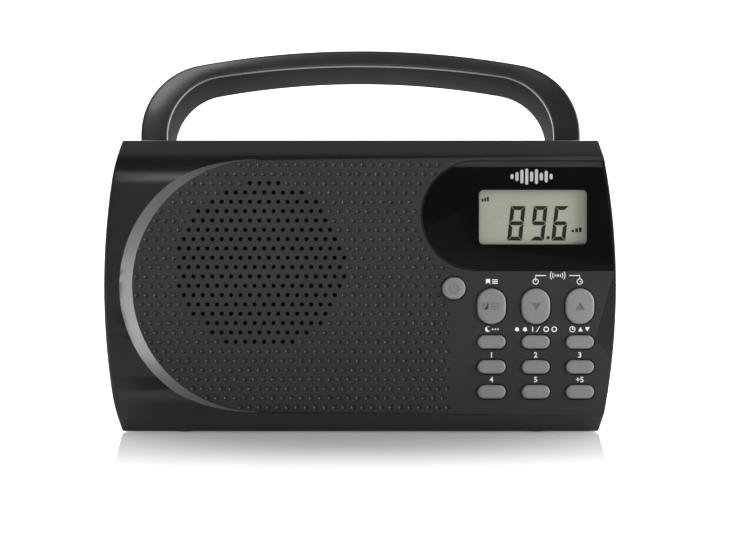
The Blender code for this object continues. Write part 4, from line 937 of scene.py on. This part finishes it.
def buildPrints():
    line = printPlan["line"]
    radius = printPlan["iconRadius"]
    left, middle, right = [keySizes(n)[0] for n in ("key_memory", "key_tune_down", "key_tune_up")]
    _, ovalZ, _, ovalTall = keySizes("key_memory")
    upperZ = ovalZ + ovalTall / 2 + printPlan["upperRise"]
    midZ = keySizes("key_sleep")[1] + printPlan["middleRise"]
    bracketZ = upperZ + printPlan["bracketRise"]
    bracketEnd = bracketZ - printPlan["bracketDrop"]
    gap = printPlan["bracketGap"]
    between = (middle + right) / 2
    prints = {
        "memoryMark": bookmarkShapes(left, upperZ),
        "minuteMark": clockShapes(middle, upperZ, radius, ((0, 0.8),)),
        "hourMark": clockShapes(right, upperZ, radius, ((90, 0.55),)),
        "tuneBracket": [strokeOutline([(middle, bracketEnd), (middle, bracketZ), (between - gap, bracketZ)], line),
                        strokeOutline([(between + gap, bracketZ), (right, bracketZ), (right, bracketEnd)], line)],
        "tuneWaves": waveShapes(between, bracketZ),
        "sleepMark": moonShapes(left - 1.6 * mm, midZ, radius)
        + bars([(0.2, 0.8, 0), (1.4, 2.0, 0), (2.6, 3.2, 0)], left, midZ, printPlan["dot"]),
        "alarmMark": bellShapes(middle - 8.1 * mm, midZ + 0.1 * mm, radius)
        + bellShapes(middle - 4.6 * mm, midZ + 0.1 * mm, radius) + bars([(-1.5, -1.1, 0)], middle, midZ, 1.1 * mm)
        + [strokeOutline([(middle + 0.4 * mm, midZ - 1.2 * mm), (middle + 1.7 * mm, midZ + 1.2 * mm)], line)]
        + ringShapes((middle + 4.6 * mm, midZ), 1.0 * mm, printPlan["boldLine"])
        + ringShapes((middle + 8.1 * mm, midZ), 1.0 * mm, printPlan["boldLine"]),
        "clockMark": clockShapes(right - 3.2 * mm, midZ, radius)
        + [triangle(right + 0.3 * mm, midZ, 1.0 * mm, 0.9 * mm),
           triangle(right + 3.3 * mm, midZ, 1.0 * mm, -0.9 * mm)]}
    for name, shapes in prints.items():
        markGroup(name, shapes, panelFront, floorY, "cabinet", whitePrint)
    for text in ("1", "2", "3", "4", "5", "+5"):
        name = "plus_five" if text == "+5" else "preset_" + text
        x, z, _, _ = keySizes("key_" + name)
        drop = printPlan["digitDrop"][0 if text in "123" else 1]
        digitPrint("label_" + name, text, x, z + printPlan["digitRise"] - drop)


def digitPrint(name, text, x, z):
    curve = bpy.data.curves.new(name, "FONT")
    curve.body = text
    curve.size = printPlan["digitSize"]
    curve.align_x = "CENTER"
    curve.align_y = "CENTER"
    curve.extrude = printPlan["thickness"] / 2
    curve.offset = printPlan["swell"]
    letters = bpy.data.objects.new(name + "Text", curve)
    bpy.context.scene.collection.objects.link(letters)
    bpy.context.view_layer.update()
    mesh = bpy.data.meshes.new_from_object(letters.evaluated_get(bpy.context.evaluated_depsgraph_get()))
    bpy.data.objects.remove(letters)
    upright = Matrix.Rotation(math.pi / 2, 4, "X")
    mesh.transform(Matrix.Translation((x, floorY - printPlan["thickness"] / 2, z)) @ upright)
    digit = bpy.data.objects.new(name, mesh)
    bpy.context.scene.collection.objects.link(digit)
    dress(digit, "cabinet", whitePrint)


# row of sound bars above the display
emblemPlan = dict(left=65.3 * mm, pitch=2.12 * mm, width=1.35 * mm, height=7.0 * mm, middleZ=111.7 * mm,
                  proud=0.05 * mm, heights=(0.30, 0.55, 0.85, 1.0, 0.62, 0.92, 0.48, 0.72, 0.34))


def buildEmblem():
    half = emblemPlan["height"] / 2
    width = emblemPlan["width"]
    middle = emblemPlan["middleZ"]
    shapes = []
    for i, share in enumerate(emblemPlan["heights"]):
        x = emblemPlan["left"] + emblemPlan["pitch"] * i
        shapes.append(roundedBox(x, x + width, middle - half * share, middle + half * share, width * 0.45, 4))
    front = windowLow[1] - emblemPlan["proud"]
    markGroup("soundBars", shapes, front, windowLow[1] + 0.3 * mm, "cabinet", silverPrint)


buildDigits()
buildPrints()
buildEmblem()
print("digits and prints ready")


# keys

keyCaps = dict(crown=((0.30, 0.0), (0.55, 0.02), (0.78, 0.07)), edgeDrop=0.12,
               rise=((-0.85, 0.0), (-0.58, 0.05), (-0.32, 0.17), (-0.12, 0.38), (0.0, 0.75)),
               flangeDepth=2.6 * mm, flangeThickness=1 * mm, stemInset=1.6 * mm,
               arrowHalf=2.1 * mm, arrowLow=1.5 * mm, arrowPoint=1.7 * mm, arrowDepth=0.28 * mm,
               powerRadius=1.9 * mm, powerLine=0.42 * mm, markProud=0.10 * mm, markDepth=0.3 * mm)


def outsetStadium(width, height, outset, steps=14):
    radius = min(width, height) / 2 + outset
    alongX = max(0.0, (width - min(width, height)) / 2)
    alongZ = max(0.0, (height - min(width, height)) / 2)
    loop = []
    for quarter, sx, sz in ((0, 1, 1), (90, -1, 1), (180, -1, -1), (270, 1, -1)):
        loop += arcPoints((sx * alongX, sz * alongZ), radius, quarter, quarter + 90, steps)
    return loop


def arrowMark(name, x, z):
    way = {"key_tune_down": -1, "key_tune_up": 1}.get(name)
    if way is None:
        return None
    wide, low, point = keyCaps["arrowHalf"], keyCaps["arrowLow"], keyCaps["arrowPoint"]
    return anticlockwise([(x - wide, z - way * low), (x + wide, z - way * low), (x, z + way * point)])


def powerShapes(x, z):
    line = keyCaps["powerLine"]
    return ringShapes((x, z - 0.1 * mm), keyCaps["powerRadius"], line, 125, 415) + [
        barShape(x - line / 2, x + line / 2, z + 0.3 * mm, z + 2.2 * mm)]


def memoryShapes(x, z):
    page = [(-3.4, -1.4), (-3.4, 1.4), (-1.6, 1.4), (-1.6, -1.4), (-2.5, -0.6), (-3.3, -1.4)]
    return [strokeOutline([(x + px * mm, z + pz * mm) for px, pz in page], 0.34 * mm)] + bars(
        [(-0.4, 3.4, -1.15), (-0.4, 3.4, 0), (-0.4, 3.4, 1.15)], x, z, 0.2 * mm)


def buildKey(name):
    low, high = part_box(name)
    x, z, width, height = keySizes(name)
    face = low[1]
    short = min(width, height) / 2
    steps = [(-short * (1 - share), drop * mm) for share, drop in keyCaps["crown"]]
    steps += [(outset * mm, (keyCaps["edgeDrop"] + drop) * mm) for outset, drop in keyCaps["rise"]]
    flange, flangeY, stem = keyPlan["flange"], floorY + keyCaps["flangeDepth"], -keyCaps["stemInset"]
    thick = keyCaps["flangeThickness"]
    steps = [(outset, face + drop) for outset, drop in steps]
    steps += [(0, flangeY), (flange, flangeY), (flange, flangeY + thick), (stem, flangeY + thick), (stem, high[1])]
    key = skin(name.replace("key_", "cap_"),
               [[(x + px, y, z + pz) for px, pz in outsetStadium(width, height, outset)] for outset, y in steps], 40)
    arrow = arrowMark(name, x, z)
    deep = keyCaps["arrowDepth"]
    if arrow:
        tool = skin("keyMark", [[(px, face - 1 * mm, pz) for px, pz in inset(arrow, -0.10 * mm)],
                                [(px, face + deep * 0.4, pz) for px, pz in arrow],
                                [(px, face + deep, pz) for px, pz in inset(arrow, 0.12 * mm)]])
        resmooth(boolean(key, tool), 40)
    dress(key, name, keyRubber, [name])
    front, back = face - keyCaps["markProud"], face + keyCaps["markDepth"]
    # arrow recess floors and the raised power and memory marks get the darker rubber: painted shade for their relief
    if arrow:
        markGroup(name + "_recessShade", [inset(arrow, 0.16 * mm)], face + deep - 0.05 * mm, face + deep + 0.2 * mm, name,
                  keyMarkShadePaint)
    if name == "key_power":
        markGroup("powerMark", powerShapes(x, z), front, back, name, keyMarkShadePaint)
    if name == "key_memory":
        markGroup("memoryRelief", memoryShapes(x, z), front, back, name, keyMarkShadePaint)


for keyName in keyNames:
    buildKey(keyName)
print("keys ready")


# carry handle

handlePlan = dict(top=170.4 * mm, half=99 * mm, crown=400 * mm, shoulder=32 * mm,
                  frontInner=(87.2 * mm, 163.9 * mm, 430 * mm, 28 * mm),
                  rearInner=(85.4 * mm, 156.9 * mm, 360 * mm, 25 * mm), depth=24 * mm, frontDepth=2.5 * mm,
                  leanFrom=141 * mm, lean=0.21, pivotY=5 * mm, pivotZ=111 * mm, seam=0.3 * mm,
                  frontRound=1.5 * mm, innerRound=0.6 * mm, backRound=3.0 * mm, seamRound=0.25 * mm)


def archPoints(half, top, crown, shoulder, legs, shoulderSteps=20, crownSteps=24):
    centreX = half - shoulder
    centreZ = top - crown + math.sqrt((crown - shoulder) ** 2 - centreX ** 2)
    join = math.degrees(math.asin(centreX / (crown - shoulder)))
    right = [(half, z) for z in legs]
    right += arcPoints((centreX, centreZ), shoulder, 0, 90 - join, shoulderSteps)
    right += arcPoints((0, top - crown), crown, 90 - join, 90, crownSteps)[1:]
    return right + [(-x, z) for x, z in reversed(right[:-1])]


def handleLean(z):
    rise = max(0.0, z - handlePlan["leanFrom"])
    return handlePlan["lean"] * rise * rise / (2 * (handlePlan["top"] - handlePlan["leanFrom"]))


def innerEdge(share):
    return tuple(a + (b - a) * share for a, b in zip(handlePlan["frontInner"], handlePlan["rearInner"]))


# ring of points round four corners, each rounded by its own radius
def roundedRing(corners, radii, steps=5):
    ring = []
    for i, radius in enumerate(radii):
        here = Vector(corners[i])
        back = Vector(corners[i - 1]) - here
        on = Vector(corners[(i + 1) % 4]) - here
        reach = min(radius, 0.46 * back.length, 0.46 * on.length)
        first, last = here + back.normalized() * reach, here + on.normalized() * reach
        for k in range(steps + 1):
            t = k / steps
            ring.append((1 - t) ** 2 * first + 2 * t * (1 - t) * here + t * t * last)
    return ring


def handleBand(name, front, back, turn, near, far, radii, cadNode):
    radius = handlePlan["depth"] / 2
    pivotY, pivotZ = handlePlan["pivotY"], handlePlan["pivotZ"]
    legs = [pivotZ - radius * math.sin(math.radians(turn * i / 12)) for i in range(12, -1, -1)]
    legs += [pivotZ + 5 * mm * i for i in range(1, 5)]
    outer = archPoints(handlePlan["half"], handlePlan["top"], handlePlan["crown"], handlePlan["shoulder"], legs)
    rings = []
    for edge, first, second in zip(outer, archPoints(*near, legs), archPoints(*far, legs)):
        drop = max(0.0, pivotZ - min(edge[1], first[1]))
        reach = math.sqrt(max(0.0, radius * radius - drop * drop))
        start, end = max(front, pivotY - reach), min(back, pivotY + reach)
        tilt = handleLean(edge[1])
        rings.append(roundedRing([(edge[0], start + tilt, edge[1]), (first[0], start + tilt, first[1]),
                                  (second[0], end + tilt, second[1]), (edge[0], end + tilt, edge[1])], radii))
    finish = gripPlastic if cadNode == "handle_rear" else handlePlastic
    dress(skin(name, rings, 50), "handle", finish, [cadNode])


def buildHandle():
    front = handlePlan["pivotY"] - handlePlan["depth"] / 2
    share = handlePlan["frontDepth"] / handlePlan["depth"]
    seamY = front + handlePlan["frontDepth"]
    coverTurn = 0.85 * math.degrees(math.acos(1 - 2 * share))
    handleBand("handleCover", front, seamY, coverTurn, innerEdge(0), innerEdge(share),
               (handlePlan["frontRound"], handlePlan["innerRound"], handlePlan["seamRound"],
                handlePlan["seamRound"]), "handle_front")
    handleBand("handleGrip", seamY + handlePlan["seam"], front + handlePlan["depth"], 84, innerEdge(share),
               innerEdge(1), (handlePlan["seamRound"], handlePlan["seamRound"], handlePlan["backRound"],
                              handlePlan["backRound"]), "handle_rear")


buildHandle()
print("handle ready")


# rear cabinet and battery door

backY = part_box("rear_cabinet")[1][1]
rearCabinet = dict(backRound=8 * mm, edge=1.6 * mm, midEdge=3.0 * mm, wall=2.4 * mm, seam=0.3 * mm,
                   pocketIn=82.5 * mm, pocketOut=100 * mm, pocketFront=-7.7 * mm,  # room for the handle's legs
                   pocketFloor=98.3 * mm, shoulderIn=78.4 * mm, shoulderFront=29 * mm,
                   bayHalf=54.5 * mm, bayFront=8.1 * mm, bayBottom=12.5 * mm, bayTop=67 * mm, bayWall=2 * mm,
                   channelFront=24 * mm, channelFloor=117 * mm, channelEnd=76 * mm, wellRadius=3.4 * mm,
                   screwX=66 * mm, screwZ=(9.5 * mm, 112.5 * mm), wheel=(96.67 * mm, 25 * mm, 12.2 * mm),
                   jack=(4 * mm, 84 * mm, 4.2 * mm), inlet=(75 * mm, 30 * mm))


def boxCutter(name, low, high):
    return block(name, [min(a, b) for a, b in zip(low, high)], [max(a, b) for a, b in zip(low, high)])


def rearRooms(name, wall=0.0):
    plan = rearCabinet
    out = 60 * mm
    rooms = []
    for side in (-1, 1):
        far = (side * (plan["pocketOut"] + (out if wall else 0)), backY + out, cabHigh[2] + out)
        for part, inner, front in (("Leg", plan["pocketIn"], plan["pocketFront"]),
                                   ("Shoulder", plan["shoulderIn"], plan["shoulderFront"])):
            near = (side * (inner - wall), front - wall, plan["pocketFloor"] - wall)
            rooms.append(boxCutter(name + part, near, far))
    bayWall = min(wall, plan["bayWall"])
    rooms.append(boxCutter(name + "Bay", (-plan["bayHalf"] - bayWall, plan["bayFront"] - bayWall,
                                          plan["bayBottom"] - bayWall),
                           (plan["bayHalf"] + bayWall, backY + out, plan["bayTop"] + bayWall)))
    rooms.append(boxCutter(name + "Channel", (-cabHalfWidth - out, plan["channelFront"] - wall,
                                              plan["channelFloor"] - wall),
                           (plan["channelEnd"] + wall, backY + out, cabHigh[2] + out)))
    return rooms


def rodCutter(name, start, axis, radius, length, segments=32):
    return turnedPiece(name, ((0, 0), (0, radius), (length, radius), (length, 0)), start, axis, segments, None)


def inletOutline(outset):
    return shifted(stadium(16.6 * mm, 8.4 * mm, outset, 16), *rearCabinet["inlet"])


def buildRearCabinet():
    plan = rearCabinet
    start = splitY + plan["seam"]
    corners = [(start, cabLow[2]), (backY, cabLow[2]), (backY, cabHigh[2]), (start, cabHigh[2])]
    chain = filledPath(roundedPath(corners, (plan["backRound"], plan["backRound"]), 10), 5 * mm)
    shell = rolledBody("rearShell", chain, start, plan["edge"], plan["midEdge"])
    wall = plan["wall"]
    outline = bodyOutline(wall)
    deep = backY - plan["backRound"]
    squeezed = [(x * 0.965, backY - wall, cabMiddle + (z - cabMiddle) * 0.89) for x, z in outline]
    hollow = skin("rearHollow", [[(x, start - 5 * mm, z) for x, z in outline], [(x, deep, z) for x, z in outline],
                                 squeezed])
    for room in rearRooms("wall", wall):
        boolean(hollow, room)
    wells = [(side * plan["screwX"], z) for side in (-1, 1) for z in plan["screwZ"]]
    for x, z in wells:
        boolean(hollow, rodCutter("wellWall", (x, start - 8 * mm, z), (0, 1, 0), plan["wellRadius"] + 1.2 * mm,
                                  0.08))
    boolean(shell, hollow)
    for room in rearRooms("room"):
        boolean(shell, room)
    doorLow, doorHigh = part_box("battery_door")
    gap = 0.35 * mm
    boolean(shell, boxCutter("doorSeat", (doorLow[0] - gap, doorLow[1] - gap, doorLow[2] - gap),
                             (doorHigh[0] + gap, backY + 0.02, doorHigh[2] + 2 * gap)))
    for x, z in wells:
        boolean(shell, rodCutter("well", (x, start + 6 * mm, z), (0, 1, 0), plan["wellRadius"], 0.08))
    wheelX, wheelZ, reach = plan["wheel"]
    low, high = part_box("volume_wheel")
    boolean(shell, boxCutter("wheelSlot", (wheelX + 2 * mm, low[1] - 0.6 * mm, wheelZ - reach),
                             (0.2, high[1] + 0.6 * mm, wheelZ + reach)))
    jackY, jackZ, jackRadius = plan["jack"]
    boolean(shell, rodCutter("jackHole", (sideHalf(jackZ) - 5 * mm, jackY, jackZ), (1, 0, 0), jackRadius, 0.02))
    boolean(shell, slab("inletHole", inletOutline(2.1 * mm), backY - 5 * mm, backY + 0.02))
    boolean(shell, rodCutter("studHole", (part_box("aerial_swivel")[0][0] + 3.6 * mm, plan["channelFront"] - 6 * mm,
                                          cabHigh[2] - 6 * mm), (0, 1, 0), 1.9 * mm, 8 * mm))
    resmooth(shell, 32)
    dress(shell, "cabinet", backPlastic, ["rear_cabinet"])


doorPlan = dict(edge=0.35 * mm, dentHalf=12 * mm, dentDrop=(10 * mm, 3 * mm), dentDepth=1 * mm, ridges=4,
                ridgeRise=1.4 * mm, ridgePitch=1.35 * mm, ridgeHalf=(8 * mm, 0.3 * mm), arrowProud=0.0001 * mm)


def buildBatteryDoor():
    low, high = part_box("battery_door")
    radius = (high[1] - low[1]) / 2
    outline = arcPoints((low[1] + radius, low[2] + radius), radius, 180, 360, 10)
    outline += [(high[1], high[2] - 0.4 * mm), (high[1] - 0.4 * mm, high[2]), (low[1], high[2])]
    edge = doorPlan["edge"]
    rings = []
    for x, shrink in ((low[0], edge), (low[0] + edge, 0), (high[0] - edge, 0), (high[0], edge)):
        middle = ((low[1] + high[1]) / 2, (low[2] + high[2]) / 2)
        rings.append([(x, y + (shrink if y < middle[0] else -shrink), z + (shrink if z < middle[1] else -shrink))
                      for y, z in outline])
    door = skin("batteryDoor", rings)
    top, under = high[2] - doorPlan["dentDrop"][1], high[2] - doorPlan["dentDrop"][0]
    dent = anticlockwise(roundedBox(-doorPlan["dentHalf"], doorPlan["dentHalf"], under, top, 3 * mm, 8))
    depth = doorPlan["dentDepth"]
    boolean(door, skin("dent", [[(x, high[1] + 2 * mm, z) for x, z in inset(dent, -0.8 * mm)],
                                [(x, high[1], z) for x, z in dent],
                                [(x, high[1] - depth * 0.7, z) for x, z in inset(dent, 0.3 * mm)],
                                [(x, high[1] - depth, z) for x, z in inset(dent, 0.9 * mm)]]))
    resmooth(door, 32)
    dress(door, "battery_door", backPlastic, ["battery_door"])
    shapes = []
    wide, tall = doorPlan["ridgeHalf"]
    for i in range(doorPlan["ridges"]):
        z = under + doorPlan["ridgeRise"] + i * doorPlan["ridgePitch"]
        shapes.append(roundedBox(-wide, wide, z - tall, z + tall, 0.28 * mm, 4))
    markGroup("doorRidges", shapes, high[1] - depth - 0.1 * mm, high[1] - depth + 0.45 * mm, "battery_door",
              backPlastic)
    arrow = [[(-3 * mm, top + 0.7 * mm), (3 * mm, top + 0.7 * mm), (0, top + 2.2 * mm)]]
    markGroup("doorArrow", arrow, high[1] - 0.2 * mm, high[1] + doorPlan["arrowProud"], "battery_door", backPlastic)


buildRearCabinet()
buildBatteryDoor()
print("rear cabinet ready")


# feet, screws, volume wheel and sockets

# rubber feet: (rise, inset) of the rounded underside
footPlan = dict(edge=((0, 1.0), (0.12, 0.45), (0.4, 0.1), (0.7, 0)), sides=40)


def centreOf(low, high):
    return [(a + b) / 2 for a, b in zip(low, high)]


def buildFeet():
    for name in ("foot_front_left", "foot_front_right", "foot_rear_left", "foot_rear_right"):
        low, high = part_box(name)
        x, y, _ = centreOf(low, high)
        radius = (high[0] - low[0]) / 2
        tall = high[2] - low[2]
        profile = [(0, 0)] + [(rise * mm, radius - less * mm) for rise, less in footPlan["edge"]]
        profile += [(tall, radius), (tall, 0)]
        foot = turnedPiece(name.replace("foot_", "pad_"), profile, (x, y, low[2]), (0, 0, 1), footPlan["sides"])
        dress(foot, "cabinet", footRubber, [name])


# head is given as (distance from its top, radius)
screwPlan = dict(shank=1.5 * mm, tip=1.8 * mm, head=((2, 2.8), (1.0, 2.75), (0.4, 2.2), (0.1, 1.2)),
                 crossHalf=1.5 * mm, slotHalf=0.32 * mm, crossDepth=1.1 * mm)


def buildScrews():
    shank = screwPlan["shank"]
    for name in ("screw_left_low", "screw_right_low", "screw_left_high", "screw_right_high"):
        low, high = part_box(name)
        x, _, z = centreOf(low, high)
        length = high[1] - low[1]
        profile = [(0, 0), (screwPlan["tip"], shank), (length - screwPlan["head"][0][0] * mm, shank)]
        profile += [(length - under * mm, radius * mm) for under, radius in screwPlan["head"]] + [(length, 0)]
        screw = turnedPiece(name.replace("screw_", "crossScrew_"), profile, (x, low[1], z), (0, 1, 0), 32)
        long, thin = screwPlan["crossHalf"], screwPlan["slotHalf"]
        for wide, tall in ((long, thin), (thin, long)):
            boolean(screw, boxCutter("cross", (x - wide, high[1] - screwPlan["crossDepth"], z - tall),
                                     (x + wide, high[1] + 1 * mm, z + tall)))
        resmooth(screw, 35)
        dress(screw, "cabinet", platedSteel, [name])


# rim is given as (distance from a face, inset)
wheelPlan = dict(teeth=60, tooth=0.45 * mm, rim=((0, 1.0), (0.15, 0.5), (0.6, 0.0)), toothFrom=0.6 * mm)


def buildWheel():
    low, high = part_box("volume_wheel")
    radius = (high[2] - low[2]) / 2
    x, z = high[0] - radius, (low[2] + high[2]) / 2
    count = wheelPlan["teeth"] * 4
    rim = [(low[1] + deep * mm, less * mm) for deep, less in wheelPlan["rim"]]
    rim += [(high[1] - deep * mm, less * mm) for deep, less in reversed(wheelPlan["rim"])]
    rings = []
    for y, less in rim:
        ring = []
        for i in range(count):
            tooth = wheelPlan["tooth"] if i % 4 > 1 and less < wheelPlan["toothFrom"] else 0
            turn = 2 * math.pi * i / count
            reach = radius - less - tooth
            ring.append((x + reach * math.cos(turn), y, z + reach * math.sin(turn)))
        rings.append(ring)
    dress(skin("knurledWheel", rings, 30), "volume_wheel", shellPlastic, ["volume_wheel"])


# jack ring as (along, radius), inlet lip as (depth, outset)
socketPlan = dict(ringLength=1.2 * mm, sides=40,
                  ring=((0, 1.85), (0, 2.9), (1.2, 2.9), (1.45, 2.6), (1.45, 2.1), (1.2, 1.85)),
                  lip=((0.4, 0.0), (0.05, 0.35), (0, 0.8), (0.05, 1.5), (0.5, 1.75)))


def buildSockets():
    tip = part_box("headphone_jack")[1][0]
    y, z, _ = rearCabinet["jack"]
    profile = [(along * mm, radius * mm) for along, radius in socketPlan["ring"]]
    start = (tip - socketPlan["ringLength"], y, z)
    ring = turnedPiece("jackRing", profile, start, (1, 0, 0), socketPlan["sides"], 35, True)
    dress(ring, "cabinet", platedSteel)
    lip = skin("inletLip", [[(x, backY - deep * mm, z) for x, z in inletOutline(outset * mm)]
                            for deep, outset in socketPlan["lip"]], 40, True)
    dress(lip, "cabinet", footRubber)


buildFeet()
buildScrews()
buildWheel()
buildSockets()
print("small parts ready")


# aerial

# sections as body and radius, tip knob as (distance from the end, radius)
aerialPlan = dict(sections={"aerial_tube_2": ("aerial_middle", 2.0 * mm),
                            "aerial_tube_3": ("aerial_inner", 1.25 * mm),
                            "aerial_tip_rod": ("aerial_tip", 0.65 * mm)},
                  wall=0.35 * mm, boreDepth=8 * mm,
                  groove=((1.3, 0.12), (0.25, 0.12), (0, 0.25)), grooveFrom=1.6 * mm,
                  knob=((5, 2.3), (4.7, 2.6), (1.2, 2.6), (0.5, 2.3), (0.1, 1.5)),
                  sleeveFrom=10.4 * mm, sleeveRadius=2.84 * mm, sleeveEnd=2.6 * mm, sleeveBore=(2.3 * mm, 2.25 * mm),
                  sleevePlug=1.6 * mm, sleeveEdge=0.5 * mm, sides=40)


def buildAerial():
    plan = aerialPlan
    tubeLow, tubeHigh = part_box("aerial_tube_1")
    _, y, z = centreOf(tubeLow, tubeHigh)
    for name, (body, radius) in plan["sections"].items():
        low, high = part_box(name)
        length = high[0] - low[0]
        bore = radius - plan["wall"]
        if name == "aerial_tip_rod":
            profile = [(0, 0), (0, radius), (length - plan["knob"][0][0] * mm, radius)]
            profile += [(length - before * mm, size * mm) for before, size in plan["knob"]] + [(length, 0)]
        else:
            profile = [(0, 0), (0, radius), (length - plan["grooveFrom"], radius)]
            profile += [(length - before * mm, radius - less * mm) for before, less in plan["groove"]]
            profile += [(length, bore), (length - plan["boreDepth"], bore), (length - plan["boreDepth"], 0)]
        tube = turnedPiece(name.replace("aerial_", "aerialPart_"), profile, (high[0], y, z), (-1, 0, 0), plan["sides"])
        dress(tube, body, chromeTube, [name])
    start = tubeHigh[0] - plan["sleeveFrom"]
    long = start - tubeLow[0]
    edge, plug = plan["sleeveEdge"], plan["sleevePlug"]
    profile = ((0, 0), (0, plan["sleeveBore"][0]), (edge, plan["sleeveRadius"]), (long - edge, plan["sleeveRadius"]),
               (long, plan["sleeveEnd"]), (long, plan["sleeveBore"][0]), (plug, plan["sleeveBore"][1]), (plug, 0))
    sleeve = turnedPiece("aerialSleeve", profile, (start, y, z), (-1, 0, 0), plan["sides"])
    dress(sleeve, "aerial_outer", chromeTube)


buildAerial()
print("aerial ready")


# finishes for the parts carried over from the frame

finishes = {"black_shell": backPlastic, "grey_key": keyRubber, "gloss_window": windowGloss,
            "lcd_glass": displayGlass, "black_rubber": footRubber, "keypad_rubber": padRubber,
            "circuit_board": boardGreen, "white_holder": holderWhite, "plated_steel": platedSteel,
            "chrome_tube": chromeTube, "coil_wire": coilWire, "ferrite": ferriteGrey, "speaker_paper": conePaper,
            "cell_jacket": cellSleeve}
finishOf = {"speaker_frame": voidPaint}
for nodeName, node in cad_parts.items():
    for slot in node.material_slots:
        given = slot.material.name.split(".")[0] if slot.material else "black_shell"
        slot.material = finishOf.get(nodeName) or finishes.get(given, backPlastic)
print("finishes ready")
